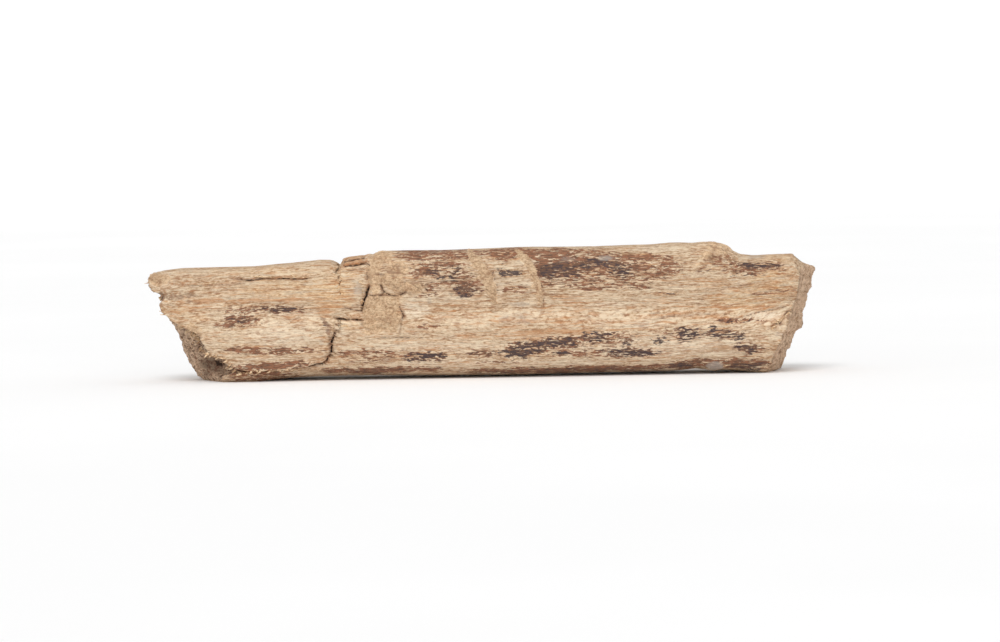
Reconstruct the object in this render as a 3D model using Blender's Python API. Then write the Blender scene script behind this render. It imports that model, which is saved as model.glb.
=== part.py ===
"""Weathered birch log: a broken length of wood with no bark, lying on its side.

Frame: +X runs along the log, -Y is its best face, +Z is up, and the origin is the middle of the
log's underside. The outline points are in millimetres, measured along the log from its left end
and up from the surface it rests on. What is built from them is in metres.
"""

import math

import bmesh
import bpy
from mathutils import Matrix, Vector, noise

MM = 0.001

# Driving dimensions, in millimetres.
LENGTH = 240.0
HALF_DEPTH = 19.0
CORE_HEIGHT = 22.0

# How far the front and the back of the log stand from its middle plane, at places along it.
FRONT_LINE = (
    (0, 14.5), (12, 16.8), (30, 18.0), (68, 17.6), (82, 18.6), (120, 19.0), (165, 18.7),
    (205, 18.9), (225, 18.0), (240, 15.5),
)
BACK_LINE = (
    (0, 13.0), (14, 15.8), (45, 18.4), (85, 19.0), (120, 18.0), (160, 17.2), (200, 17.8),
    (222, 16.5), (240, 13.0),
)

# Height of the log's top, of the top of its back, and of its underside, at places along it.
TOP_LINE = (
    (0, 38.8), (1.5, 39.4), (3, 39.8), (5, 41.1), (12, 41.5), (37, 41.7), (45, 42.5),
    (61, 43.8), (66, 43.4), (68.4, 40.8), (69.6, 43.4), (77, 44.1), (79, 44.9), (81.5, 46.6),
    (84, 47.0), (105, 46.6), (137, 47.3), (160, 46.8), (180, 47.2), (201, 48.0), (205, 47.7),
    (207.5, 46.4), (212.5, 43.0), (217, 42.7), (231, 43.4), (233.2, 41.0), (236, 39.3),
    (239, 38.8), (240, 37.8),
)
BACK_TOP_LINE = (
    (0, 36.4), (15, 38.4), (60, 39.8), (95, 43.0), (190, 44.4), (214, 41.0), (240, 35.8),
)
UNDER_LINE = (
    (16, 1.0), (20, -0.6), (24, -1.0), (36, -1.0), (42, 0.2), (60, 1.2), (95, 0.9),
    (135, 0.6), (165, 1.0), (196, 1.5), (212, 0.4), (217, -0.6), (221, -1.0), (226, -0.8),
    (229, 1.0),
)

# Where the broken ends stand along the log, at heights above the resting plane, and how far the
# same ends are set back at the front of the log, because both breaks run aslant.
LEFT_END = (
    (0, 18.0), (2, 15.6), (6, 12.8), (10.5, 11.4), (15, 9.8), (19, 8.0), (22.5, 6.2),
    (25, 4.5), (26.5, 3.6), (29, 3.7), (31.5, 2.8), (33.3, 0.7), (35, 0.0), (38, 0.0),
    (39.5, 1.4), (41, 4.4),
)
LEFT_SETBACK = (
    (0, 7.0), (2.5, 10.5), (4.5, 14.6), (7, 14.6), (9, 13.0), (10.5, 8.3), (14, 7.6), (18, 6.8),
    (20, 3.8), (22.5, 1.6), (27, 0.5), (40, 0.5),
)
RIGHT_END = (
    (0, 224.5), (1.5, 227.6), (3.5, 228.8), (8, 230.1), (12.5, 232.1), (14.5, 233.0),
    (16, 235.0), (20, 235.3), (24, 236.6), (30, 238.4), (33.5, 239.2), (36.5, 240.0),
    (38, 239.8), (39.5, 236.4), (41, 233.4), (44, 231.5),
)
RIGHT_SETBACK = (
    (0, 4.5), (1.5, 5.6), (13, 5.6), (17, 6.4), (24, 5.6), (33, 5.7), (37, 5.8), (39.5, 1.8),
    (42, 0.8),
)

# The section: a nearly flat front with soft corners and a rounder split back, as superellipse
# powers.
FRONT_POWER = 4.0
BACK_POWER = 3.1

# The blank's mesh, and where its even stations move to, as parts of the length. More of them
# stand about the break near the left third and at the notch near the right end.
SIDES = 44
STATIONS = 66
END_RINGS = 5
STATION_SHIFT = ((0.0, 0.0), (0.22, 0.25), (0.42, 0.36), (0.8, 0.83), (1.0, 1.0))
SETTLING_PASSES = 6

# Roughness, in millimetres: long low ridges on the sides and lumps on the broken ends.
RIDGE_HEIGHT = 0.45
BACK_RIDGE_HEIGHT = 1.0
RIDGE_LENGTH = 70.0
RIDGE_WIDTH = 5.0
END_LUMP_HEIGHT = 1.1
END_LUMP_SIZE = 6.0

# Hollows (negative) and raised places (positive) of the best face. Each row is a place along the
# log, a height, a half length, a half height, a tilt in degrees and a rise.
FACE_RELIEF = {
    "left_hollow": (8, 30.8, 10, 2.6, 0, -2.2),
    "bared_strip": (40, 35.0, 42, 8.0, 0, -0.7),
    "under_lip": (42, 1.5, 24, 3.4, 0, -1.0),
    "crumb_patch": (83.5, 24.0, 8.5, 7.0, 0, 0.9),
    "first_tube": (119.5, 37.0, 11.5, 3.0, -63, 0.9),
    "second_tube": (138.5, 34.5, 10.5, 2.2, -75, 0.8),
    "shoulder_hollow": (206, 41.2, 9, 2.2, 0, -1.8),
    "torn_sheet": (231, 14.0, 6, 8.0, 0, -0.8),
}

# Cracks of the best face: how far from the middle plane each one's floor is, and its path as rows
# of a place along the log, a height and a half width.
CRACKS = {
    "long_crack": (14.0, (
        (67.6, 21.5, 0.2), (66.8, 18.0, 0.4), (65.6, 14.5, 0.45), (65.0, 10.5, 0.45),
        (63.9, 7.6, 0.3),
    )),
    "lip_crack": (12.8, (
        (63.4, 6.9, 0.4), (60.0, 5.9, 0.55), (55.5, 5.0, 0.4), (50.0, 3.9, 0.35),
        (44.0, 3.5, 0.1),
    )),
    "cross_crack": (14.8, (
        (66.9, 22.6, 0.15), (68.8, 22.2, 0.5), (71.5, 22.0, 0.45), (74.5, 21.9, 0.5),
        (76.4, 21.7, 0.2),
    )),
    "pit": (14.0, (
        (79.0, 34.2, 0.3), (78.2, 32.2, 1.0), (77.8, 30.4, 0.9), (77.0, 28.2, 0.6),
        (76.4, 26.2, 0.2),
    )),
}
CUTTER_FRONT = 30.0

WOOD_COLOUR = (0.64, 0.47, 0.32, 1.0)
WOOD_ROUGHNESS = 0.85
SHARP_ANGLE = math.radians(50.0)


def clear_scene():
    """Remove every object of the open scene."""
    for thing in list(bpy.data.objects):
        bpy.data.objects.remove(thing, do_unlink=True)


def make_collection(name):
    """Add a collection to the scene."""
    collection = bpy.data.collections.new(name)
    bpy.context.scene.collection.children.link(collection)
    return collection


def along_line(points, place):
    """Value of an outline at a place, with straight runs between its points."""
    if place <= points[0][0]:
        return points[0][1]
    for (start, low), (stop, high) in zip(points, points[1:]):
        if place <= stop:
            return low + (high - low) * (place - start) / (stop - start)
    return points[-1][1]


def smooth_step(low, high, value):
    """Ease from 0 at low to 1 at high."""
    part = min(1.0, max(0.0, (value - low) / (high - low)))
    return part * part * (3.0 - 2.0 * part)


def section(along, angle):
    """Across and height of the section's edge, at a place along the log and an angle round it."""
    sideways = math.cos(angle)
    upward = math.sin(angle)
    backward = smooth_step(-0.8, 0.9, sideways)
    top = along_line(TOP_LINE, along) * (1.0 - backward) + along_line(BACK_TOP_LINE, along) * backward
    under = along_line(UNDER_LINE, along)
    power = BACK_POWER if sideways > 0 else FRONT_POWER
    depth = along_line(BACK_LINE if sideways > 0 else FRONT_LINE, along)
    size = (abs(sideways) ** power + abs(upward) ** power) ** (-1.0 / power)
    across = depth * sideways * size
    height = (top + under) / 2 + (top - under) / 2 * upward * size
    return across, height


def end_lumps(across, height, seed):
    """Lumps of a broken end, in millimetres along the log."""
    spot = Vector((across / END_LUMP_SIZE, height / END_LUMP_SIZE, seed))
    return END_LUMP_HEIGHT * noise.noise(spot)


def left_end(across, height):
    """Place along the log of the left broken end."""
    setback = along_line(LEFT_SETBACK, height) * (1.0 - smooth_step(-15.0, 4.0, across))
    return along_line(LEFT_END, height) + setback + abs(end_lumps(across, height, 3.7))


def right_end(across, height):
    """Place along the log of the right broken end."""
    setback = along_line(RIGHT_SETBACK, height) * (1.0 - smooth_step(-15.0, 4.0, across))
    return along_line(RIGHT_END, height) - setback - abs(end_lumps(across, height, 8.2))


def face_relief(along, height):
    """Rise of the best face's hollows and raised places, in millimetres."""
    rise = 0.0
    for place, level, half_length, half_height, tilt, peak in FACE_RELIEF.values():
        turn = math.radians(tilt)
        run = along - place
        climb = height - level
        lengthwise = (run * math.cos(turn) + climb * math.sin(turn)) / half_length
        crosswise = (climb * math.cos(turn) - run * math.sin(turn)) / half_height
        rise += peak * (1.0 - smooth_step(0.5, 1.1, math.hypot(lengthwise, crosswise)))
    return rise


def grain_ridges(along, angle, across):
    """Rise of the long ridges that weather leaves, in millimetres."""
    tall = RIDGE_HEIGHT + (BACK_RIDGE_HEIGHT - RIDGE_HEIGHT) * smooth_step(2.0, 14.0, across)
    round_edge = HALF_DEPTH / RIDGE_WIDTH
    spot = Vector((along / RIDGE_LENGTH, round_edge * math.cos(angle), round_edge * math.sin(angle)))
    return tall * noise.noise(spot)


def log_point(part, angle, reach):
    """Point of the log for a point of the blank.

    part runs from 0 at the left end to 1 at the right, angle goes round the log, and reach is 0 on
    its core and 1 on its surface.
    """
    along = LENGTH * part
    for _ in range(SETTLING_PASSES):
        across, height = section(along, angle)
        across *= reach
        height = CORE_HEIGHT + (height - CORE_HEIGHT) * reach
        start = left_end(across, height)
        along = start + part * (right_end(across, height) - start)
    rise = grain_ridges(along, angle, across)
    if across < 0:
        rise += face_relief(along, height)
    across += rise * reach * math.cos(angle)
    height += rise * reach * math.sin(angle)
    return Vector((along, across, max(height, 0.0))) * MM


def make_blank():
    """A unit cylinder along +X, with rings of faces along its side and across both ends."""
    blank = bmesh.new()
    lying = Matrix.Translation((0.5, 0, 0)) @ Matrix.Rotation(math.pi / 2, 4, "Y")
    bmesh.ops.create_cone(
        blank, cap_ends=True, segments=SIDES, radius1=1.0, radius2=1.0, depth=1.0, matrix=lying
    )
    long_edges = [edge for edge in blank.edges if abs(edge.verts[0].co.x - edge.verts[1].co.x) > 0.5]
    bmesh.ops.subdivide_edges(blank, edges=long_edges, cuts=STATIONS - 1, use_grid_fill=True)
    ends = [face for face in blank.faces if len(face.verts) == SIDES]
    for _ in range(END_RINGS):
        bmesh.ops.inset_individual(blank, faces=ends, thickness=1.0 / (END_RINGS + 1))
    bmesh.ops.poke(blank, faces=ends)
    return blank


def shape_log(blank):
    """Move the blank's points to the log's surface and put the origin under its middle."""
    for point in blank.verts:
        part = along_line(STATION_SHIFT, point.co.x)
        reach = min(1.0, math.hypot(point.co.y, point.co.z))
        point.co = log_point(part, math.atan2(point.co.z, point.co.y), reach)
    for axis in (0, 1):
        low = min(point.co[axis] for point in blank.verts)
        high = max(point.co[axis] for point in blank.verts)
        for point in blank.verts:
            point.co[axis] -= (low + high) / 2


def crack_outline(path):
    """Closed outline of a crack, from a path of places, heights and half widths."""
    one_side = []
    other_side = []
    for index, (along, height, half_width) in enumerate(path):
        before = path[max(index - 1, 0)]
        after = path[min(index + 1, len(path) - 1)]
        heading = Vector((after[0] - before[0], after[1] - before[1])).normalized()
        aside = Vector((-heading.y, heading.x)) * half_width
        one_side.append(Vector((along, height)) + aside)
        other_side.append(Vector((along, height)) - aside)
    return one_side + other_side[::-1]


def make_crack_cutter(name, path, floor, collection):
    """A thin upright slab with a crack's outline, from in front of the log to the crack's floor."""
    curve = bpy.data.curves.new(name, "CURVE")
    curve.dimensions = "2D"
    curve.fill_mode = "BOTH"
    curve.extrude = (CUTTER_FRONT - floor) / 2 * MM
    outline = crack_outline(path)
    spline = curve.splines.new("POLY")
    spline.points.add(len(outline) - 1)
    for point, (along, height) in zip(spline.points, outline):
        point.co = ((along - LENGTH / 2) * MM, height * MM, 0.0, 1.0)
    spline.use_cyclic_u = True
    drawn = bpy.data.objects.new(name + "_outline", curve)
    drawn.rotation_euler = (math.pi / 2, 0.0, 0.0)
    drawn.location = (0.0, -(CUTTER_FRONT + floor) / 2 * MM, 0.0)
    collection.objects.link(drawn)
    bpy.context.view_layer.update()
    mesh = bpy.data.meshes.new_from_object(drawn.evaluated_get(bpy.context.evaluated_depsgraph_get()))
    welded = bmesh.new()
    welded.from_mesh(mesh)
    bmesh.ops.remove_doubles(welded, verts=welded.verts, dist=0.00001)
    bmesh.ops.recalc_face_normals(welded, faces=welded.faces)
    welded.to_mesh(mesh)
    welded.free()
    cutter = bpy.data.objects.new(name, mesh)
    cutter.matrix_world = drawn.matrix_world
    cutter.hide_render = True
    cutter.display_type = "WIRE"
    collection.objects.link(cutter)
    bpy.data.objects.remove(drawn, do_unlink=True)
    return cutter


def make_wood():
    """Pale weathered wood with a dull surface."""
    wood = bpy.data.materials.new("weathered_wood")
    wood.use_nodes = True
    shader = wood.node_tree.nodes["Principled BSDF"]
    shader.inputs["Base Color"].default_value = WOOD_COLOUR
    shader.inputs["Roughness"].default_value = WOOD_ROUGHNESS
    shader.inputs["Metallic"].default_value = 0.0
    return wood


def make_log(collection, cutters):
    """The log: a cylinder shaped to its outline, with the cracks cut into its best face."""
    blank = make_blank()
    shape_log(blank)
    mesh = bpy.data.meshes.new("log")
    blank.to_mesh(mesh)
    blank.free()
    mesh.shade_smooth()
    mesh.set_sharp_from_angle(angle=SHARP_ANGLE)
    mesh.materials.append(make_wood())
    log = bpy.data.objects.new("log", mesh)
    collection.objects.link(log)
    for cutter in cutters:
        cut = log.modifiers.new(cutter.name, "BOOLEAN")
        cut.operation = "DIFFERENCE"
        cut.solver = "EXACT"
        cut.object = cutter
    return log


def main():
    """Build the log and its cutters."""
    clear_scene()
    parts = make_collection("weathered_birch_log")
    tools = make_collection("cutters")
    cutters = [
        make_crack_cutter(name + "_cutter", path, floor, tools)
        for name, (floor, path) in CRACKS.items()
    ]
    make_log(parts, cutters)


main()
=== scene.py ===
"""The looks of a weathered birch log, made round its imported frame.

The log lies along +X with its best face towards -Y. Places on it are in millimetres: along from its
left end, height from the surface it rests on, and across from its middle plane, where the front is
negative. What is handed to Blender is in metres.
"""

import logging
import math
from dataclasses import dataclass, field, replace
from enum import Enum

import bpy
import numpy as np
from mathutils import Matrix, Vector


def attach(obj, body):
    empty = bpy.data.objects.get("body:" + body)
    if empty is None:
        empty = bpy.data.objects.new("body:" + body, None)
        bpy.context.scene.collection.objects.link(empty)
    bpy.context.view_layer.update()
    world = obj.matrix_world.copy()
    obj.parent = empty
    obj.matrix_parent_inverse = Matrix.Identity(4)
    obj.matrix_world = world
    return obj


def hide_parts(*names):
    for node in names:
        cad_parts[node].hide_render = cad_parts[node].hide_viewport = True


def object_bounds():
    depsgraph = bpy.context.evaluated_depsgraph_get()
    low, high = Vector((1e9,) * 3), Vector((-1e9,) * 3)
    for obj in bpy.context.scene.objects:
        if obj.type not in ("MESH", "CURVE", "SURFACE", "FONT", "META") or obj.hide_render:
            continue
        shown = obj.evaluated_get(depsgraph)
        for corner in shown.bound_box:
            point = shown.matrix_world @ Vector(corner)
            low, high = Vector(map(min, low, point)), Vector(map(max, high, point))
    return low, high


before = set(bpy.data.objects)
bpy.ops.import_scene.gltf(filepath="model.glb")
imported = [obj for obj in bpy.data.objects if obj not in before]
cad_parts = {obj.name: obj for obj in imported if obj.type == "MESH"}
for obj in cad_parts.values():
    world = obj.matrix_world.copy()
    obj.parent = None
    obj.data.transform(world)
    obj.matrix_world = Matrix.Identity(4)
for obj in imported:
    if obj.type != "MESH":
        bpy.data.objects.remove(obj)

logging.basicConfig(level=logging.INFO, format="%(name)s: %(message)s")
LOG = logging.getLogger("birch_log")

CAD_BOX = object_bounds()
NODE = "log"
BODY = "root"
MM = 0.001
FULL_TURN = 2.0 * math.pi
# A distance, in millimetres, that counts as far from every crack and hole.
FAR = 9.0

Rows = tuple[tuple[float, ...], ...]
Colour = tuple[float, float, float]


class Side(Enum):
    """Which side of the log a list of patches belongs to."""

    FRONT = "front"
    BACK = "back"


def soft_ramp(low: float, high: float, values: np.ndarray) -> np.ndarray:
    """Ease from 0 at low to 1 at high.

    Args:
        low: Value where the ramp starts.
        high: Value where the ramp ends; it may be below low.
        values: Values to ease.

    Returns:
        The eased values.
    """
    part = np.clip((values - low) / (high - low), 0.0, 1.0)
    return part * part * (3.0 - 2.0 * part)


def lattice_noise(spots: np.ndarray, seed: int) -> np.ndarray:
    """Smooth seeded noise on a lattice with cells of one unit.

    Args:
        spots: Places, as rows of three numbers.
        seed: Which pattern to read.

    Returns:
        One value for each place, mostly within -1 and 1.
    """
    base = np.floor(spots).astype(np.int64)
    part = spots - base
    ease = part ** 3 * (part * (part * 6.0 - 15.0) + 10.0)
    total = np.zeros(len(spots))
    for corner in np.ndindex(2, 2, 2):
        cell = base + np.array(corner)
        mixed = cell[:, 0] * 73856093 ^ cell[:, 1] * 19349663 ^ cell[:, 2] * 83492791 ^ (seed * 374761393)
        mixed = ((mixed ^ (mixed >> 13)) * 1274126177) & 0xFFFFFFFF
        mixed = ((mixed ^ (mixed >> 15)) * 668265263) & 0xFFFFFFFF
        pull = np.stack([(mixed >> shift & 1023) / 511.5 - 1.0 for shift in (0, 10, 20)], axis=1)
        weight = np.prod(np.where(np.array(corner) == 1, ease, 1.0 - ease), axis=1)
        total += weight * np.sum(pull * (part - np.array(corner)), axis=1)
    return total * 1.4


def layered_noise(spots: np.ndarray, seed: int, layers: int = 3) -> np.ndarray:
    """Lattice noise with finer, weaker layers added.

    Args:
        spots: Places, as rows of three numbers.
        seed: Which pattern to read.
        layers: How many layers, each twice as fine and half as strong as the one before.

    Returns:
        One value for each place.
    """
    return sum(lattice_noise(spots * 2 ** layer, seed + layer) / 2 ** layer for layer in range(layers))


@dataclass(frozen=True)
class Outline:
    """A line through given points, with its corners rounded a little.

    Attributes:
        points: Rows of a place and the value there.
        softness: Length over which corners are rounded.
    """

    points: Rows
    softness: float = 0.7

    def at(self, places: np.ndarray) -> np.ndarray:
        """Values of the line at places."""
        known = np.array(self.points)
        ticks = np.arange(known[0, 0] - 12.0, known[-1, 0] + 12.0, 0.2)
        reach = np.arange(-3.0, 3.01, 0.2) * self.softness
        weights = np.exp(-0.5 * np.linspace(-3.0, 3.0, len(reach)) ** 2)
        rounded = sum(
            weight * np.interp(ticks + step, known[:, 0], known[:, 1])
            for step, weight in zip(reach, weights)
        )
        return np.interp(places, ticks, rounded / weights.sum())


@dataclass(frozen=True)
class Site:
    """Places on the log and what part of it each belongs to.

    Attributes:
        along: Millimetres from the left end.
        across: Millimetres from the middle plane, with the front negative.
        height: Millimetres above the resting plane.
        left: 1 on the left broken end.
        right: 1 on the right broken end.
    """

    along: np.ndarray
    across: np.ndarray
    height: np.ndarray
    left: np.ndarray
    right: np.ndarray

    def front(self) -> np.ndarray:
        """1 where the surface belongs to the best face."""
        return soft_ramp(5.0, -3.0, self.across)

    def facing(self, side: Side) -> np.ndarray:
        """1 on one side of the log and 0 on the other."""
        return self.front() if side is Side.FRONT else 1.0 - self.front()

    def level(self) -> np.ndarray:
        """Height with the bends of the grain taken out, so that fibres run at constant level."""
        rise = 2.6 * soft_ramp(183.0, 203.0, self.along) * np.exp(-((self.height - 3.0) / 4.5) ** 2)
        rise += 3.2 * soft_ramp(190.0, 232.0, self.along) * np.exp(-((self.height - 23.0) / 8.0) ** 2)
        rise += 1.4 * soft_ramp(8.0, 70.0, self.along) * np.exp(-((self.height - 30.0) / 6.0) ** 2)
        rise += 1.8 * soft_ramp(25.0, 45.0, self.along) * np.exp(-((self.height - 24.0) / 4.0) ** 2)
        sway = np.stack([self.along / 34.0, self.across / 11.0, self.height / 11.0], axis=1)
        return self.height - rise + 0.9 * lattice_noise(sway, 5)

    def grid(self, length: float, width: float, use_level: bool = True) -> np.ndarray:
        """Places measured in cells that are long with the grain and narrow across it."""
        tall = self.level() if use_level else self.height
        return np.stack([self.along / length, self.across / width, tall / width], axis=1)


@dataclass(frozen=True)
class Patches:
    """Soft oval places of one side of the log, such as stains or hollows.

    Attributes:
        rows: Each a place along, a height, a half length, a half height, an amount and, where the
            oval is tilted, its tilt in degrees.
        side: The side of the log they lie on.
        core: Part of the oval's radius that is covered fully.
        spread: How much larger than written the ovals are.
    """

    rows: Rows
    side: Side = Side.FRONT
    core: float = 0.45
    spread: float = 1.0

    def cover(self, site: Site) -> np.ndarray:
        """How much of the patches' finish lies at each place, from 0 to 1."""
        bare = np.ones(len(site.along))
        for row in self.rows:
            along, height, half_length, half_height, amount = row[:5]
            turn = math.radians(row[5] if len(row) > 5 else 0.0)
            run = site.along - along
            climb = site.height - height
            lengthwise = (run * math.cos(turn) + climb * math.sin(turn)) / (half_length * self.spread)
            crosswise = (climb * math.cos(turn) - run * math.sin(turn)) / (half_height * self.spread)
            bare *= 1.0 - amount * soft_ramp(1.35, self.core, np.hypot(lengthwise, crosswise))
        return (1.0 - bare) * site.facing(self.side)


@dataclass(frozen=True)
class Trail:
    """A line across the best face with a width, such as a crack, a tube or the edge of a layer.

    Attributes:
        points: Rows of a place along, a height and a half width.
        depth: How far the line is cut in, or raised where it is negative, in millimetres.
        shade: How dark the painted shade inside it is, from 0 to 1.
        side: The side of the log it lies on.
    """

    points: Rows
    depth: float = 0.0
    shade: float = 1.0
    side: Side = Side.FRONT

    def measure(self, site: Site) -> tuple[np.ndarray, np.ndarray, np.ndarray]:
        """Find how each place lies to the trail.

        Args:
            site: The places.

        Returns:
            The distance to the middle line, the half width there, and the side, which is positive
            to the left of the way the points run and fades to 0 past the trail's two ends.
        """
        best = np.full(len(site.along), 1e9)
        width = np.zeros(len(site.along))
        side = np.zeros(len(site.along))
        last = len(self.points) - 2
        for index, (start, stop) in enumerate(zip(self.points, self.points[1:])):
            run = np.array(stop[:2]) - np.array(start[:2])
            length = float(np.hypot(*run))
            from_start = np.stack([site.along - start[0], site.height - start[1]], axis=1)
            free = from_start @ run / length ** 2
            part = np.clip(free, 0.0, 1.0)
            gap = from_start - part[:, None] * run
            distance = np.hypot(gap[:, 0], gap[:, 1])
            handed = np.sign(run[0] * from_start[:, 1] - run[1] * from_start[:, 0])
            past = np.zeros(len(free))
            if index == 0:
                past += np.clip(-free, 0.0, None) * length
            if index == last:
                past += np.clip(free - 1.0, 0.0, None) * length
            nearer = distance < best
            best = np.where(nearer, distance, best)
            width = np.where(nearer, start[2] + (stop[2] - start[2]) * part, width)
            side = np.where(nearer, handed * np.exp(-past / 1.2), side)
        return best, width, side


# The log's outlines, as rows of a place and a value.
TOP_LINE = Outline((
    (0, 38.8), (1.2, 39.2), (2.6, 39.4), (4.7, 41), (12, 41.5), (30, 41.6), (37, 41.7), (45, 42.5),
    (55, 43.3), (61, 43.9), (65, 43.7), (66.8, 43), (68.1, 40.4), (68.7, 40.5), (69.2, 43.4), (72, 43.9),
    (77, 44.1), (79, 44.9), (81, 46.4), (83, 47), (87, 47), (95, 46.8), (105, 46.6), (115, 46.9),
    (125, 47.1), (137, 47.3), (150, 46.9), (160, 46.8), (170, 47.1), (180, 47.2), (187, 47.8), (195, 47.8),
    (201, 48.1), (205, 47.7), (207.5, 46.4), (210, 44.6), (212.5, 43), (217, 42.7), (221, 43), (226, 43.3),
    (231, 43.4), (232.7, 42.5), (233.2, 41), (235, 39.7), (237, 38.9), (239, 38.8), (240, 37.8),
), 0.35)
BACK_TOP_LINE = Outline((
    (0, 36.4), (15, 38.4), (60, 39.8), (95, 43), (190, 44.4), (214, 41), (240, 35.8),
), 3)
UNDER_LINE = Outline((
    (16, 1), (20, -0.4), (24, -0.8), (36, -0.8), (42, 0.2), (50, 0.8), (60, 1.2), (80, 1.2), (95, 0.9),
    (125, 0.7), (135, 0.6), (150, 0.9), (165, 1), (187, 0.9), (192, 1.3), (196, 1.6), (200, 1), (207, 0.8),
    (212, 0.4), (217, -0.3), (221, -0.8), (226, -0.7), (229, 1),
), 0.8)
FRONT_LINE = Outline((
    (0, 14.5), (12, 16.8), (30, 18), (68, 17.6), (82, 18.6), (120, 19), (165, 18.7), (205, 18.9), (225, 18),
    (240, 15.5),
), 3)
BACK_LINE = Outline((
    (0, 13), (14, 15.8), (45, 18.4), (85, 19), (120, 18), (160, 17.2), (200, 17.8), (222, 16.5), (240, 13),
), 3)
LEFT_END = Outline((
    (0, 18.4), (0.9, 17.4), (2.3, 15.4), (6.2, 12.8), (10.7, 11.4), (14.9, 9.8), (18.9, 8), (22.5, 6.3),
    (24.6, 5), (25.6, 3.8), (27.9, 3.5), (29.2, 3.9), (31.9, 2.8), (33.3, 0.7), (35.1, -0.4), (36.2, 0.2),
    (37.2, -0.2), (38.7, -0.1), (39.4, 1.4), (40.5, 3.4), (41.5, 5),
), 0.2)
LEFT_SETBACK = Outline((
    (0, 7.1), (1.5, 8.2), (2.6, 11.2), (3.2, 14.2), (4, 15.6), (7, 15.8), (8.6, 14.8), (9.6, 12.2),
    (10.3, 9.6), (13.6, 8.8), (17.3, 8.6), (18.6, 7.4), (19.4, 5.4), (20.8, 3), (22.5, 1.8), (27, 0.5),
    (40, 0.5),
), 0.2)
RIGHT_END = Outline((
    (0, 225), (1.2, 227.3), (3.5, 228.7), (5.5, 229.3), (8, 229.6), (8.3, 230.4), (10.5, 231.4),
    (12.5, 232.1), (14.3, 232.5), (14.9, 233.9), (16, 235), (20, 235.3), (22, 235.9), (24, 236.6),
    (26, 237.1), (30, 238.4), (33.5, 239.2), (36.5, 240.1), (38, 239.9), (38.9, 238.6), (39.6, 235.6),
    (41, 233.4), (42.5, 232.8), (44, 231.5),
), 0.2)
RIGHT_SETBACK = Outline((
    (0, 4.5), (1, 5.8), (7, 5.6), (13.5, 5.7), (16, 7.6), (19.5, 6.6), (26, 5.5), (33, 5.8), (36.5, 6.2),
    (38.5, 4.8), (39.6, 1.8), (42, 0.8),
), 0.4)


@dataclass(frozen=True)
class LogShape:
    """The log's plain form, before weather and decay shape its surface.

    Attributes:
        length: Length of the log.
        front_power: How square the front half of the section is.
        back_power: How square the split back half is.
        core_height: Height of the point that the broken ends' rings shrink to.
    """

    length: float = 240.0
    front_power: float = 4.0
    back_power: float = 3.1
    core_height: float = 22.0

    def section(self, along: np.ndarray, angle: np.ndarray) -> tuple[np.ndarray, np.ndarray]:
        """Find the section's edge.

        Args:
            along: Places along the log.
            angle: Angles round it, from the back over the top.

        Returns:
            Across and height of the edge.
        """
        sideways = np.cos(angle)
        upward = np.sin(angle)
        behind = sideways > 0.0
        backward = soft_ramp(-0.8, 0.9, sideways)
        top = TOP_LINE.at(along) * (1.0 - backward) + BACK_TOP_LINE.at(along) * backward
        under = UNDER_LINE.at(along)
        power = np.where(behind, self.back_power, self.front_power)
        depth = np.where(behind, BACK_LINE.at(along), FRONT_LINE.at(along))
        size = (np.abs(sideways) ** power + np.abs(upward) ** power) ** (-1.0 / power)
        height = (top + under) / 2 + (top - under) / 2 * upward * size
        return depth * sideways * size, height

    def left_end(self, across: np.ndarray, height: np.ndarray) -> np.ndarray:
        """Place along the log of the left break, with fibre bundles broken off unevenly."""
        setback = LEFT_SETBACK.at(height) * soft_ramp(4.0, -14.0, across)
        spots = np.stack([across / 3.4, height / 2.2, np.zeros(len(across))], axis=1)
        bundles = np.abs(layered_noise(spots, 31, 3)) * (0.7 - 0.2 * soft_ramp(30.0, 22.0, height))
        tips = np.abs(layered_noise(spots * (1.0, 2.6, 1.0), 33, 2)) * soft_ramp(-6.0, -13.0, across)
        return LEFT_END.at(height) + setback + bundles + 2.6 * tips * soft_ramp(24.0, 19.0, height)

    def right_end(self, across: np.ndarray, height: np.ndarray) -> np.ndarray:
        """Place along the log of the right break."""
        setback = RIGHT_SETBACK.at(height) * soft_ramp(4.0, -15.0, across)
        spots = np.stack([across / 4.2, height / 2.8, np.ones(len(across))], axis=1)
        return RIGHT_END.at(height) - setback - 0.9 * np.abs(layered_noise(spots, 47, 3))

    def place(self, part: np.ndarray, angle: np.ndarray, reach: np.ndarray) -> Site:
        """Find the points of the log's plain form.

        Args:
            part: 0 at the left break to 1 at the right break.
            angle: Angle round the log.
            reach: 0 in the middle of a break to 1 on the side.

        Returns:
            The places, as a site.
        """
        along = self.length * part
        for _ in range(7):
            across, height = self.section(along, angle)
            across = across * reach
            height = self.core_height + (height - self.core_height) * reach
            start = self.left_end(across, height)
            along = start + part * (self.right_end(across, height) - start)
        inner = 1.0 - soft_ramp(0.985, 1.0, reach)
        return Site(along, across, height, inner * (part < 0.5), inner * (part > 0.5))
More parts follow.
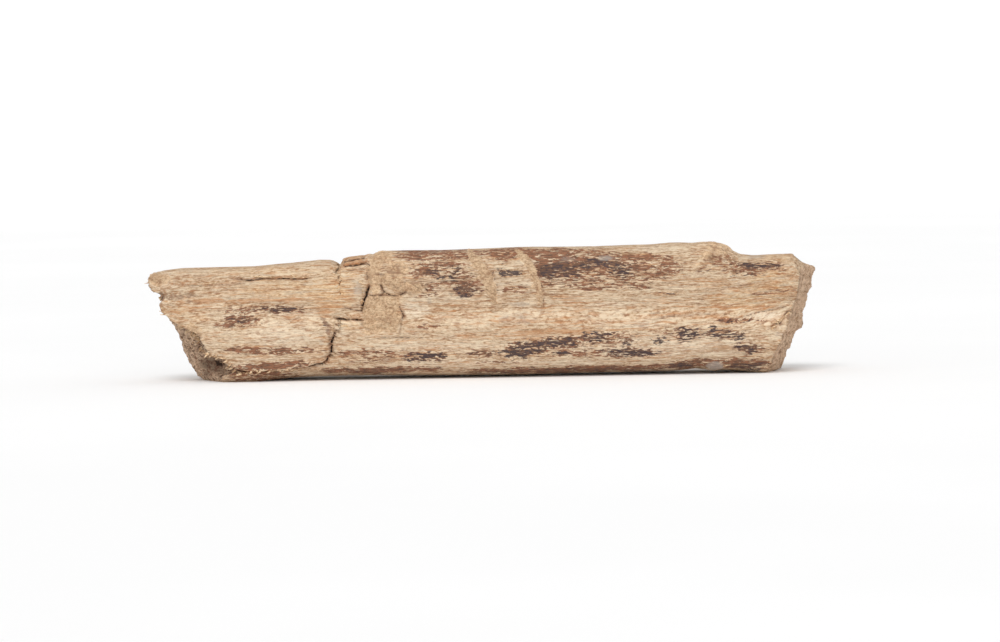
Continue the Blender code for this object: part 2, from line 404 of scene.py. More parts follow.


# Grooves of the best face, each with painted shade inside: cracks, and the shadows under fragments, clods and
# lumps and beside tubes, cut in as shallow grooves. A trail's rows are a place along, a height and a half
# width.
CRACKS_AND_SHADOW_LINES = {
    "long crack": Trail((
        (68.2, 21.2, 0.08), (67.5, 19.6, 0.22), (66.7, 17.8, 0.32), (66.1, 16.2, 0.26), (65.4, 14.4, 0.38),
        (65.2, 12.4, 0.32), (65.1, 10.8, 0.36), (64.5, 9.4, 0.32), (63.7, 8, 0.26), (62.8, 6.9, 0.26),
        (61.6, 5.8, 0.06),
    ), 2, 1),
    "lip crack": Trail((
        (63.3, 7, 0.16), (61.6, 6.1, 0.36), (59.6, 6, 0.42), (57.8, 5.5, 0.36), (55.8, 4.9, 0.24),
        (53, 4.5, 0.3), (50.6, 4.2, 0.26), (47, 3.9, 0.2), (42, 3.7, 0.34), (36.5, 3.5, 0.3),
        (33.2, 3.9, 0.42), (30, 4.4, 0.32), (27.4, 5, 0.1),
    ), 1.3, 0.9),
    "cross crack": Trail((
        (66.6, 22.3, 0.06), (68.2, 22.5, 0.26), (70.2, 22.1, 0.26), (71.6, 22, 0.16), (72.3, 22.1, 0.05),
        (73.2, 22, 0.22), (75, 21.8, 0.26), (76.4, 21.8, 0.08),
    ), 1.6, 0.95),
    "corner drop": Trail(((76.3, 21.9, 0.12), (76.2, 20.2, 0.05), (76.1, 18.4, 0.08)), 0.5, 0.5),
    "fragment foot": Trail(((76.2, 18.3, 0.06), (74.6, 18.3, 0.1), (73.4, 18.2, 0.03)), 0.3, 0.6),
    "pit": Trail((
        (79.1, 34.2, 0.1), (78.7, 32.8, 0.4), (78.2, 31.4, 0.45), (77.7, 30, 0.3), (77.2, 28.9, 0.3),
        (76.9, 27.6, 0.22), (76.5, 26.4, 0.14), (76.4, 24.4, 0.06),
    ), 2.2, 0.95),
    "fragment underside": Trail((
        (69, 40.5, 0.1), (71.2, 41.1, 0.2), (74.5, 41.3, 0.2), (77.2, 41.6, 0.26), (79, 41.8, 0.14),
    ), 1, 0.85),
    "fragment layer": Trail(((69.6, 42.2, 0.1), (73, 42.6, 0.18), (78, 43, 0.1)), 0.7, 0.8),
    "fragment top layer": Trail(((70.6, 43.4, 0.04), (74, 43.9, 0.14), (78.6, 44.4, 0.06)), 0.5, 0.6),
    "fragment foot layer": Trail(((70, 39, 0.04), (73.6, 39.6, 0.12), (77.6, 39.8, 0.16)), 0.5, 0.6),
    "corner gap": Trail((
        (78.9, 41.4, 0.1), (78.6, 39.5, 0.2), (78.3, 37.6, 0.2), (78.8, 35.2, 0.1),
    ), 0.8, 0.5),
    "clod underside": Trail((
        (79.4, 30.6, 0.2), (81.4, 30.4, 0.12), (83.6, 30.6, 0.34), (84.4, 32, 0.15), (85.8, 30.9, 0.25),
        (88, 30.3, 0.12), (90.4, 30.6, 0.28), (92.4, 31.8, 0.18),
    ), 0.9, 0.6),
    "clod side": Trail(((83.2, 34.2, 0.3), (83.8, 33, 0.3), (84.2, 31.8, 0.08)), 0.9, 0.6),
    "clod top": Trail(((81.2, 38.2, 0.12), (83.6, 37.9, 0.2), (86, 37.6, 0.06), (89, 37, 0.12)), 0.6, 0.5),
    "second clod side": Trail(((97.8, 34.2, 0.05), (98.8, 33, 0.16), (100.4, 31.6, 0.26)), 0.7, 0.6),
    "patch edge": Trail((
        (89.6, 26.8, 0.05), (90.4, 25.4, 0.12), (91.1, 23.4, 0.3), (91, 22.3, 0.26), (90.4, 20.8, 0.05),
        (90, 18.4, 0.08), (89.7, 16.8, 0.03),
    ), 0.8, 0.75),
    "upper split": Trail((
        (29, 37.5, 0.02), (31.5, 37.3, 0.12), (34, 37.1, 0.08), (36.2, 36.8, 0.24), (38.5, 37, 0.18),
        (41.5, 37.3, 0.16), (44, 37, 0.1), (47, 37.1, 0.14), (50, 37.1, 0.2), (53, 36.9, 0.16),
        (57, 36.9, 0.04),
    ), 0.9, 0.9),
    "lower split": Trail((
        (8, 35.2, 0.03), (13, 35.4, 0.08), (18, 35.2, 0.05), (25.6, 35.1, 0.05), (26.2, 35.3, 0.22),
        (27.2, 35.2, 0.05), (31, 35.4, 0.08), (34.5, 35.4, 0.02),
    ), 0.5, 0.65),
    "bulge splits": Trail(((70, 26.4, 0.02), (72.5, 25.9, 0.1), (76.2, 25, 0.16)), 0.4, 0.8),
    "bulge splits below": Trail(((73, 27.1, 0.02), (76.4, 27.1, 0.14)), 0.4, 0.8),
    "middle split": Trail((
        (82, 15.1, 0.05), (84, 15.5, 0.12), (86.4, 15.5, 0.1), (89, 15.3, 0.14), (93, 15.2, 0.1),
        (98, 15, 0.02),
    ), 0.4, 0.6),
    "torn step": Trail((
        (222.6, 16.6, 0.05), (224, 17.6, 0.16), (225.6, 18, 0.2), (226.6, 19, 0.12), (227.2, 20.3, 0.2),
        (228.3, 21.9, 0.3), (229.6, 22.2, 0.12),
    ), 0.8, 0.6),
    "shoulder shadow": Trail((
        (195.8, 36.6, 0.04), (198, 38, 0.16), (200.4, 39.8, 0.14), (203, 41.2, 0.06),
    ), 0.5, 0.5),
    "right fibre split": Trail((
        (215.5, 29.2, 0.02), (219, 29.4, 0.1), (226, 29.3, 0.06), (232.5, 30.2, 0.02),
    ), 0.3, 0.6),
    "torn edge pit": Trail(((16, 12, 0.25), (17.4, 12.1, 0.5), (18.6, 11.6, 0.25)), 1.2, 0.9),
    "torn edge foot": Trail((
        (18.4, 10, 0.15), (21, 9.6, 0.16), (23.6, 9.2, 0.35), (25.2, 8.7, 0.25), (26.8, 8.6, 0.12),
    ), 0.8, 0.8),
    "long check": Trail((
        (52, 30.2, 0.03), (66, 30.6, 0.22), (88, 31.4, 0.16), (104, 31, 0.26), (128, 31.8, 0.12),
        (146, 31.2, 0.03),
    ), 1.2, 0.9, Side.BACK),
    "low check": Trail((
        (98, 13.6, 0.03), (120, 14.4, 0.2), (150, 14, 0.28), (178, 15, 0.14), (196, 14.6, 0.03),
    ), 1.2, 0.9, Side.BACK),
    "end check": Trail((
        (12, 21, 0.3), (28, 21.6, 0.2), (48, 21.2, 0.12), (66, 21.8, 0.03),
    ), 1.4, 0.9, Side.BACK),
    "shoulder check": Trail((
        (168, 36.4, 0.03), (190, 35.6, 0.18), (212, 35.8, 0.2), (232, 34.6, 0.3),
    ), 1.2, 0.9, Side.BACK),
    "right layer edge": Trail((
        (204, 18.4, 0.03), (212, 20.6, 0.12), (221, 22.6, 0.16), (227.4, 23.8, 0.04),
    ), 0.5, 0.6),
    "right fibre lines": Trail(((200, 30.4, 0.03), (214, 32, 0.1), (231, 35.2, 0.04)), 0.4, 0.5),
    "right top line": Trail(((203, 36.2, 0.03), (216, 37, 0.1), (229, 39.4, 0.05)), 0.4, 0.45),
    "rising line": Trail((
        (180, 20, 0.03), (187, 21.2, 0.1), (196, 21.8, 0.12), (206, 21.8, 0.04),
    ), 0.4, 0.55),
    "slanting crack": Trail((
        (196, 23.6, 0.03), (197.2, 26, 0.14), (199, 28.8, 0.1), (200, 30.2, 0.03),
    ), 0.5, 0.6),
    "first tube shade": Trail((
        (118.6, 44.4, 0.03), (121.4, 40.2, 0.12), (123.6, 36.6, 0.16), (125, 32.6, 0.14),
        (125.4, 29.6, 0.05),
    ), 0.4, 0.45),
    "second tube shade": Trail((
        (136, 43.6, 0.03), (139.4, 39.4, 0.12), (140.2, 35, 0.16), (141.2, 31.2, 0.16), (141.4, 26.4, 0.12),
        (140.6, 24, 0.04),
    ), 0.4, 0.6),
    "right ridge": Trail((
        (234, 39.5, 0.05), (233.4, 33.2, 0.12), (231.8, 26.6, 0.16), (229.4, 19.8, 0.2),
        (226.8, 13.6, 0.16), (224.1, 7.1, 0.12), (221.6, 1, 0.04),
    ), 0.4, 0.35),
}

# Edges where a layer of wood has come away, each with its step and how far it slopes back, in
# millimetres. The left of the way the points run stands proud where the step is negative, and the
# right where it is positive.
LAYERS = {
    "bared strip": (Trail((
        (9, 28.2, 0), (16, 29, 0), (26, 28.9, 0), (40, 28.6, 0), (58, 28, 0), (63, 24.4, 0),
        (67.5, 22.4, 0),
    )), -0.55, 7),
    "torn sheet": (Trail((
        (229.6, 22.4, 0), (228.2, 21.8, 0), (227.2, 20.2, 0), (225.8, 18.1, 0), (223.8, 17.4, 0),
        (222.4, 16.4, 0), (222, 12, 0),
    )), -0.7, 7),
    "slanting step": (Trail((
        (195, 22.6, 0), (196.4, 24.8, 0), (197.8, 27.2, 0), (199.6, 29.6, 0),
    )), 0.4, 5),
    "outer layer": (Trail((
        (79.6, 45.6, 0), (79.2, 42, 0), (79, 36, 0), (78.4, 30, 0), (76.6, 22, 0),
    )), 0.7, 9),
    "lower slab": (Trail((
        (28, 6.6, 0), (31, 4.6, 0), (40, 3.6, 0), (50, 4, 0), (57, 5.4, 0), (62.5, 6.4, 0),
    )), -0.9, 6),
    "rising layer": (Trail(((180, 20.2, 0), (186, 21, 0), (192, 21.5, 0), (200, 21.2, 0))), -0.3, 5),
}

# Granular ridges of dried crumbs that insects left across the grain.
TUBES = {
    "first tube": Trail((
        (115.2, 45.2, 0.9), (116.6, 43.4, 1.6), (118.8, 40.2, 2), (120.8, 36.8, 2.3), (122.4, 32.8, 2.2),
        (123.2, 29.8, 1.8), (123.8, 27.4, 0.8),
    ), -0.95),
    "second tube": Trail((
        (133, 44.2, 1.1), (135.4, 41.6, 1.6), (137.6, 38.4, 1.4), (138.5, 34.6, 1.2), (139.4, 31, 1.3),
        (140.1, 28, 1.1), (140.4, 26, 0.6),
    ), -0.85),
}

# Insect holes in the broken ends: 1 for the right end, then across, height and radius.
INSECT_HOLES: Rows = (
    (1, -5, 20.6, 0.75), (1, -2.3, 17.2, 0.45), (1, -4.4, 10.2, 0.5), (1, -5.2, 7.3, 0.65),
    (1, -11, 5.8, 0.4), (1, 4, 27, 0.6), (1, 9, 11, 0.4), (1, 1, 33.5, 0.35), (0, 3, 17, 0.6),
    (0, -6, 5.6, 0.9), (0, -9, 13.4, 0.5), (0, 7, 26, 0.4), (0, -10, 8, 0.6),
)

# Hollows and lumps of the best face, each with its rise in millimetres, negative where it is cut in.
HOLLOWS = {
    "left hollow": (Patches(((10, 31.2, 6.4, 2, 1), (3.4, 31.4, 2, 1.6, 0.5)), core=0.75), -1.2),
    "cavity": (Patches(((20, 5.6, 3.6, 3, 1), (24, 6.6, 3.4, 2.2, 0.7))), -1.8),
    "shoulder": (Patches((
        (204, 42, 4.6, 1.3, 0.9, -6), (209.4, 41.2, 3.4, 0.9, 0.6), (198.4, 38.6, 3.4, 0.9, 0.7, 40),
        (200.6, 41, 2, 0.9, 0.6, 30),
    ), core=0.1), -1),
    "top lump": (Patches(((201, 45, 6, 2.2, 1),)), 0.5),
    "knob": (Patches(((3.6, 37.2, 4.4, 2.2, 1),)), 0.5),
    "crumb patch": (Patches((
        (86.6, 25.6, 3.8, 4.6, 1), (87, 21.4, 3.4, 4, 1), (81.6, 24.6, 5, 5.4, 0.7),
    ), core=0.7), 0.6),
    "first clod": (Patches(((86.4, 35.2, 2.8, 2.4, 1), (90, 33.6, 2.8, 2, 1)), core=0.5), 0.8),
    "second clod": (Patches(((95, 33.4, 2.2, 1.5, 1), (97.8, 32.4, 2, 1.4, 1)), core=0.5), 0.7),
    "channel": (Patches(((81, 38, 2.6, 7.5, 1),), core=0.6), -0.6),
    "bulge": (Patches(((68, 32, 9.5, 6.6, 1),), core=0.2), 0.7),
    "fragment": (Patches(((73.8, 43.2, 4.9, 1.5, 1),), core=0.6), 0.6),
    "chip": (Patches(((202.4, 2.8, 3, 1.4, 1),), core=0.6), 0.7),
    "wedge": (Patches(((72.2, 20.2, 3.8, 1.2, 1),), core=0.5), 0.3),
}

# The sharp notch in the upper edge.
NOTCH_PLACE = 68.4
NOTCH_HALF_WIDTH = 1.15
NOTCH_DEPTH = 2.2

# Where wood and crumbs have broken up into lumps with creases between them.
CLODS: Rows = (
    (89, 37, 6, 6.4, 1), (95.6, 34, 5.4, 4, 1), (82, 42.6, 4, 3, 0.6), (82, 20, 6, 2.6, 0.5),
    (82, 27, 6, 2.6, 0.3), (202, 43, 8, 4, 0.9), (3, 37, 4, 3, 0.7), (209, 40, 4, 2, 0.4),
    (225, 20, 3, 2, 0.5),
)

# Stains of the best face, as rows of along, height, half length, half height and amount.
BLACK_STAINS: Rows = (
    # upper band
    (102, 38.8, 2, 0.9, 0.9), (110.2, 39, 1.7, 1.3, 0.8), (104.5, 36.4, 3, 1, 0.45),
    (108.5, 36, 2.4, 1.2, 0.6), (111.4, 32.6, 2.2, 1, 0.7), (112.6, 29.8, 3.6, 0.7, 0.6),
    (116.4, 31.4, 4, 0.7, 0.5), (126.6, 38.9, 1.2, 1.7, 0.8), (129.4, 37.5, 4, 0.9, 0.98),
    (141, 38.2, 1.9, 1.8, 0.85), (146, 39.6, 2.5, 1.2, 0.9), (144.2, 36.6, 2.2, 1.6, 0.75),
    (149.5, 38.4, 3, 0.9, 0.65), (152.2, 37, 3, 1.4, 0.6), (156.6, 39.5, 2.2, 1.3, 0.75),
    (161, 41.2, 3, 0.9, 0.85), (166.6, 39.6, 3, 1.2, 0.75), (169.6, 36.8, 1.8, 1.5, 0.9),
    (186.4, 29.6, 3.2, 0.5, 0.85), (198.4, 37.5, 2.2, 0.8, 0.7), (220.4, 38.7, 5.4, 0.8, 0.75),
    (215, 39.3, 3.4, 0.6, 0.6), (213, 35.4, 6, 0.45, 0.65),
    # left slab
    (47.6, 26, 2.8, 0.6, 0.95), (34.4, 22.2, 3, 1.1, 0.4),
    # lower band
    (93.6, 7, 2, 1, 0.65), (98.2, 8.4, 4.6, 1.1, 0.7), (104, 9, 5, 0.9, 0.75), (100, 7, 2.8, 0.7, 0.7),
    (126, 9.6, 2.8, 0.7, 0.6), (129.4, 8.6, 2.4, 1.6, 0.8), (134, 9, 2.1, 1.6, 0.92),
    (137.2, 9.8, 2.8, 0.6, 0.75), (135, 12.2, 1.7, 1.7, 0.92), (140.6, 12.2, 3, 0.9, 0.85),
    (146.2, 12.1, 3.8, 1.2, 0.7), (149.2, 13.6, 2.4, 0.7, 0.7), (147.6, 8.9, 3, 0.7, 0.92),
    (157.6, 15.7, 3, 0.6, 0.85), (159.6, 13.4, 1.9, 1.4, 0.85), (163.2, 15.3, 4, 0.5, 0.78),
    (171.2, 12, 2.8, 0.6, 0.85), (167.6, 9.5, 5, 0.6, 0.9), (172.2, 8, 2.4, 1.1, 0.95),
    (177.4, 7.8, 5, 0.6, 0.92), (182.6, 13, 2.5, 1.5, 1), (191.4, 16.7, 1.7, 1.2, 1),
    (194.2, 14.5, 2.8, 0.7, 0.85), (192.2, 12.8, 2.2, 0.8, 0.8), (201.6, 16.5, 2, 0.9, 0.97),
    (205, 14.2, 4.4, 0.4, 0.85), (211.2, 13.2, 2.1, 1.4, 1), (213.6, 9.8, 3.6, 0.4, 0.85),
    (215.8, 8.1, 1.4, 1, 0.85),
    # underside edge
    (184, 1, 8, 0.4, 0.8), (216.2, 1.3, 3.4, 0.8, 0.98), (191, 3.5, 2.8, 0.6, 0.75),
    (21.6, 1.9, 2.4, 0.6, 0.8), (20, 5.9, 1.6, 1, 0.95),
)
BROWN_STAINS: Rows = (
    # lower left
    (30, 12, 2.8, 0.9, 0.65), (36, 12.2, 2.8, 0.9, 0.72), (43, 10.9, 4, 0.9, 0.6), (36, 5.6, 5, 0.7, 0.7),
    (44, 6.1, 6, 0.9, 0.85), (53, 6.8, 4.6, 0.9, 0.9), (30, 5, 3, 0.8, 0.7), (34, 3.4, 9, 0.9, 0.9),
    (46, 2.6, 8, 1, 0.6), (36, 1.2, 10, 0.7, 0.6), (27, 21, 3.5, 0.8, 0.55), (34, 21.2, 6, 1.3, 0.45),
    (34, 23.4, 5, 1.2, 0.4),
    # lower band
    (77, 4, 13, 0.8, 0.72), (66, 4.1, 4, 0.8, 0.85), (87, 3.8, 4, 0.9, 0.7), (101.4, 3.5, 3, 0.9, 0.95),
    (97, 4.2, 3.6, 0.6, 0.6), (75, 10.4, 7, 0.3, 0.6), (84, 10, 5, 0.4, 0.75), (123, 2.5, 8, 0.8, 0.85),
    (134, 2.9, 6, 0.9, 0.8), (146, 2.3, 8, 0.8, 0.72), (158, 3, 8, 0.8, 0.85), (170, 3, 10, 0.6, 0.75),
    (182, 3.1, 8, 0.6, 0.85), (190.6, 2.8, 5, 0.9, 0.95), (197, 5, 5, 0.7, 0.75), (206, 5.2, 6, 0.7, 0.6),
    (213, 4, 8, 1.2, 0.8), (208.6, 3, 3, 0.6, 0.8), (125, 5.9, 8, 0.35, 0.7), (150, 11, 5, 0.8, 0.4),
    (170, 13.4, 5, 0.8, 0.4),
    # upper band
    (95, 46, 6, 0.6, 0.75), (100, 44.8, 9, 0.5, 0.85), (108, 46.2, 5, 0.4, 0.65),
    (96.4, 43.2, 3.4, 0.5, 0.95), (104, 43, 6, 0.4, 0.85), (111, 43.9, 4, 0.7, 0.75),
    (99, 41.2, 6, 0.5, 0.45), (95, 37.6, 5, 1.2, 0.5), (98.5, 38.6, 3, 0.8, 0.6), (108, 41.2, 6, 0.8, 0.4),
    (113.4, 36.5, 4, 0.35, 0.85), (114.6, 33.4, 4.5, 0.5, 0.6), (106, 34.6, 6, 0.6, 0.6),
    (101, 34, 3.5, 0.7, 0.5), (86.6, 42.6, 2.2, 0.9, 0.6), (127.6, 45.5, 6, 0.5, 0.8),
    (129, 43.7, 6, 1, 0.65), (122.4, 44.8, 3.6, 0.8, 0.55), (140, 45.3, 4, 0.5, 0.75),
    (145, 43.4, 6, 1.8, 0.9), (137.6, 44, 3, 0.8, 0.75), (149, 44.6, 4, 1.3, 0.6), (141, 41.6, 3, 1.4, 0.7),
    (150, 41, 4, 1.3, 0.5), (143, 38.2, 6, 2.4, 0.6), (129, 31.6, 4, 0.9, 0.7), (150, 33.4, 9, 1.6, 0.5),
    (168, 33, 9, 1.8, 0.45), (158, 36.2, 6, 1.3, 0.4), (158.4, 31.7, 3.4, 0.8, 0.75),
    (176, 31.9, 3.4, 0.7, 0.6), (175, 42.6, 8, 0.7, 0.95), (184.6, 42.2, 4, 0.7, 0.6),
    (186, 40.2, 5, 0.5, 0.55), (170.4, 40.4, 6, 0.6, 0.85), (176.6, 38.8, 3.6, 1, 0.65),
    (183.6, 36.6, 7, 2, 0.25), (186, 38.9, 7, 1.2, 0.25), (161, 31.4, 4, 0.8, 0.5),
    (142.4, 33.6, 3, 0.9, 0.55), (167, 47, 6, 0.4, 0.5), (209, 39.2, 5, 0.5, 0.6), (219, 28.6, 3, 0.6, 0.7),
    (100, 19.1, 3.6, 0.8, 0.75),
)
# Wide places where stain is common, round the stains themselves.
BROWN_FIELDS: Rows = (
    (104, 44.8, 17, 2.4, 0.62), (104, 38.8, 13, 3, 0.46), (114.5, 33, 7, 4, 0.5), (130, 44.4, 9, 2.6, 0.56),
    (146.5, 41, 9, 5.4, 0.58), (159, 42.4, 10, 3.6, 0.62), (160, 36.6, 12, 3, 0.48),
    (178, 36.6, 11, 4.6, 0.38), (174, 42.6, 11, 1.6, 0.62), (187, 39, 7, 3.4, 0.18),
    (217, 37.8, 12, 2.6, 0.55), (131, 32, 7, 2.4, 0.35), (99, 8.3, 8, 2, 0.48), (80, 9, 14, 3, 0.34),
    (80, 3.4, 20, 1.3, 0.76), (118, 9.2, 6, 1.4, 0.62), (134, 10.4, 9, 3.4, 0.44),
    (146, 12.6, 9, 2.6, 0.46), (163, 13.8, 13, 2.6, 0.42), (168, 8.4, 18, 2.4, 0.44),
    (150, 8.4, 9, 1.4, 0.42), (150, 2.6, 42, 1.3, 0.82), (192, 14.5, 6, 3, 0.32), (206, 14.7, 9, 3.2, 0.32),
    (211, 19.4, 10, 1, 0.5), (215, 9, 7, 2.2, 0.5), (212, 3.4, 13, 1.8, 0.86), (195, 4, 9, 1.4, 0.76),
    (185, 16.5, 9, 1.6, 0.34), (42, 26.2, 16, 1.6, 0.54), (33, 22.8, 7, 1.8, 0.54),
    (43, 11.4, 16, 1.4, 0.68), (43, 6, 14, 1.4, 0.72), (38, 3, 14, 1.2, 0.72), (55, 11.3, 8, 1, 0.4),
    (22, 22.6, 4, 1.8, 0.1), (46, 1, 17, 0.8, 0.5), (100, 31.5, 6, 3, 0.4), (70, 10.6, 9, 0.9, 0.36),
    (203, 42.4, 7, 3.2, 0.45), (227, 30, 6, 1.4, 0.3),
)
# Black mould, save the row at 62.8 along, which is painted shade beside the fragment by the long crack.
BLACK_FIELDS: Rows = (
    (130, 37.6, 5.6, 1.5, 0.6), (147, 38.8, 8, 2.4, 0.46), (160, 40.6, 8, 2, 0.42),
    (169, 37.6, 5.6, 2.2, 0.4), (113, 32, 6, 2.8, 0.18), (135, 10.4, 8, 2.8, 0.6),
    (147, 12.6, 8, 1.9, 0.52), (172, 8.4, 11, 1.6, 0.62), (160, 14, 6, 1.6, 0.5),
    (193, 14.8, 4.2, 2.4, 0.5), (204, 15.2, 5.6, 2.2, 0.42), (210, 19.2, 9, 0.9, 0.44),
    (214, 9.6, 5.6, 1.4, 0.42), (98, 8.2, 7, 1.3, 0.52), (46, 26.3, 11, 1, 0.5), (33, 22.6, 5, 1.3, 0.34),
    (62.8, 21.2, 1.3, 1.5, 0.7), (118, 9.2, 5, 0.9, 0.5), (220, 38.6, 6, 1, 0.46), (214, 2.8, 7, 1.3, 0.6),
    (190, 3.2, 6, 1.2, 0.5), (150, 2.2, 40, 0.9, 0.3), (78, 3.6, 14, 1, 0.3),
)
ORANGE_TINTS: Rows = (
    (147, 16.5, 13, 1.6, 0.8), (130, 17.6, 10, 1.5, 0.4), (110, 25.2, 9, 1.8, 0.45),
    (24, 29.3, 14, 0.9, 0.8), (45, 29.6, 12, 0.8, 0.6), (18, 30.4, 4, 0.5, 0.7), (20, 27.2, 6, 1, 0.4),
    (10, 26.2, 4, 1.2, 0.5), (211, 24.3, 14, 0.7, 0.7), (200, 22.9, 5, 0.5, 0.6), (217, 30, 12, 1.2, 0.4),
    (175, 42.6, 9, 0.9, 0.8), (146, 20, 12, 1.2, 0.5), (64, 26.4, 6, 2.4, 0.5), (129, 44, 8, 2, 0.6),
    (12, 35.4, 8, 0.5, 0.4), (74, 42, 4.6, 0.8, 0.8), (63, 24.4, 2.6, 2.4, 0.5), (122, 20.8, 6, 1, 0.4),
    (155, 27, 9, 2, 0.3), (186, 26, 9, 3, 0.3),
)
BARE_TINTS: Rows = (
    (226, 33, 7, 6, 0.6), (66, 31.4, 9.5, 5.4, 1), (48, 33, 16, 3.6, 0.55), (44, 38.8, 22, 2.6, 0.35),
    (70, 38, 6, 3, 0.55), (73, 43.2, 5, 1.4, 0.9), (214, 26.6, 14, 4, 0.6), (222, 32.6, 10, 3.2, 0.5),
    (206, 27.6, 6, 1.6, 0.4), (72, 19.8, 5, 1.6, 0.7), (82, 18.4, 3, 1.2, 0.6), (225, 41, 7, 1.6, 0.5),
    (14, 23.4, 8, 1.4, 0.4), (203, 33, 6, 2, 0.25), (12, 26.4, 7, 1.3, 0.6),
)
# Bleached wood. The long rows low on the face also lighten the lower band where it curves under: painted
# light.
PALE_TINTS: Rows = (
    (94.2, 25.8, 3.6, 3.2, 1), (97.6, 25, 3.2, 2.6, 0.9), (220, 20.6, 6.5, 2, 0.9),
    (176, 18.6, 8, 1.4, 0.5), (212, 33, 2.2, 0.9, 0.6), (167, 26, 7, 1, 0.45), (135.6, 41.6, 2.6, 1.4, 0.7),
    (111, 29, 5, 0.9, 0.5), (48, 17.6, 13, 4.6, 0.45), (135.4, 34.4, 2, 1.4, 0.5),
    (75.2, 35.6, 2.2, 1, 0.5), (38, 37.9, 8, 0.6, 0.7), (53, 24.6, 8, 1, 0.45), (227, 33, 8, 1.8, 0.3),
    (234.6, 29, 1, 8, 0.5, -12), (182, 45.4, 9, 1.4, 0.5), (125.6, 31.8, 1.6, 3, 0.6),
    (34, 6.6, 4, 0.7, 0.5), (36, 4, 2, 0.4, 0.5), (196, 8.6, 12, 1.2, 0.35), (69, 17, 1.6, 3, 0.4),
    (50, 15, 14, 2.6, 0.4), (44, 8.6, 12, 1, 0.4), (112, 5.6, 26, 2, 0.7), (100, 11.6, 26, 2.2, 0.5),
    (186, 10.4, 30, 4.6, 0.7), (150, 5.4, 20, 1.6, 0.6),
)
# Grey film. The two rows just left of the long crack are painted shade beside the fragment there.
GREY_TINTS: Rows = (
    (133, 26.6, 4.4, 1.2, 0.6), (132, 21.4, 9, 2.6, 0.5), (75.4, 32.6, 2.4, 2.8, 0.7),
    (202.4, 3, 3.6, 1.6, 1), (202.4, 3, 3, 1.3, 1), (100.5, 28.4, 1.2, 1.6, 0.6),
    (61.6, 15.4, 1.4, 4.4, 0.4), (63.6, 19.2, 1.3, 3, 0.5, 10), (84.6, 7, 3, 1.4, 0.4),
    (163.6, 42.4, 3.2, 1.2, 0.9), (218, 41.8, 4, 1, 0.6), (7, 36.6, 1.6, 1.2, 0.7),
    (150.4, 42, 4, 1.4, 0.5), (176, 18.4, 4, 1, 0.5), (20.6, 11.4, 1.2, 0.8, 0.5), (225, 14.2, 2, 1, 0.5),
    (88, 28.8, 4, 1, 0.4), (24, 33, 10, 0.6, 0.4), (66, 42.6, 3, 0.8, 0.4),
)
CRUSTS: Rows = (
    (80.6, 26.4, 4.2, 4.4, 1), (86.4, 26.8, 4.2, 4, 1), (81, 20.8, 4.6, 3.4, 0.9),
    (86.6, 20.8, 3.8, 3.8, 0.9), (80, 17.8, 3.6, 1.6, 0.6), (81, 38, 2.8, 8, 0.9),
    (86.4, 35.4, 3.6, 2.6, 0.8), (90.2, 33.8, 3.6, 2.4, 0.8), (88.4, 39.4, 4.6, 3, 0.6),
    (96, 32.9, 3.6, 2.2, 0.9), (3.4, 37.2, 4.6, 2, 0.95), (15.4, 18, 3.6, 4, 0.7),
    (203, 44.4, 7, 2.6, 0.55), (198.6, 40.4, 3.2, 2.6, 0.45), (84.4, 44, 3, 2.4, 0.8), (91, 40, 4, 3, 0.35),
    (86, 30, 6, 1.4, 0.8), (18, 24, 3, 1.4, 0.4), (13, 13, 3, 5, 0.6), (16, 3, 4, 3, 0.6),
    (96.6, 36.8, 4, 1, 0.3),
)
# Rotten wood, and painted shade in hollows and under lumps: the left hollow and the lower-left cavity, beside
# the fragment by the long crack, under the shoulder lump, round the clods and the crumb patch, and under the
# torn step.
DECAY_AND_SHADE: Rows = (
    (9, 31.2, 6, 1.5, 0.65), (16, 31.4, 4, 1.2, 0.35), (4.2, 30.9, 1.3, 2.5, 0.95),
    (14.6, 29.4, 1.6, 0.5, 0.7), (62.6, 21.6, 2.4, 0.9, 1, -50), (64.4, 18.4, 0.9, 2.6, 0.9, 0),
    (64.6, 13, 0.8, 4, 0.6, 0), (20, 6, 5.4, 3.2, 1), (24.6, 4.6, 4, 2, 0.8), (12.4, 19.3, 2.2, 1.2, 0.95),
    (10.8, 16.4, 3.2, 1, 0.8, 62), (17.3, 12, 1.7, 0.8, 1), (22.4, 9.4, 4.6, 0.7, 0.95),
    (26.6, 7.8, 3.4, 0.8, 0.8, -30), (17.6, 17.6, 0.8, 2.6, 0.7, 20), (13.2, 12.6, 1.4, 3.4, 0.7, 20),
    (204, 42.3, 4.4, 1, 0.5), (200.8, 41.2, 2.6, 1.2, 0.5, 30), (198.2, 38.2, 3.2, 0.9, 0.55, 40),
    (209, 41.6, 3, 0.4, 0.5), (195.6, 44.4, 1.6, 0.8, 0.4), (91.4, 23, 0.6, 2.4, 0.7),
    (90.2, 19.4, 0.4, 1.6, 0.5), (84, 30.7, 5, 0.5, 0.8), (91.6, 31, 2, 0.5, 0.8),
    (83.6, 33.2, 0.7, 1.6, 0.7), (82.4, 38.2, 2.6, 0.4, 0.7), (79.4, 37, 0.8, 4, 0.5),
    (99.6, 32.2, 1.6, 0.5, 0.6, -50), (66.6, 15, 0.8, 5, 0.35, 8), (237.4, 30, 1.2, 6.4, 0.7, -14),
    (228.4, 20.8, 1.4, 1.5, 0.85), (225.4, 17.8, 1.6, 0.6, 0.8), (18, 2, 3.6, 1.6, 0.8),
)
# Places that stain does not reach.
CLEAN: Rows = (
    (95.5, 25.2, 5, 4, 1), (125.8, 33, 1.4, 4, 0.8), (134.6, 35.2, 1.4, 2, 0.7), (66, 31, 9, 5, 0.9),
    (176, 25, 22, 3.6, 0.7), (110, 25, 12, 3, 0.6), (219, 25.4, 12, 3, 0.7), (145, 23, 14, 3, 0.6),
    (188, 10.4, 3, 1, 0.5),
)
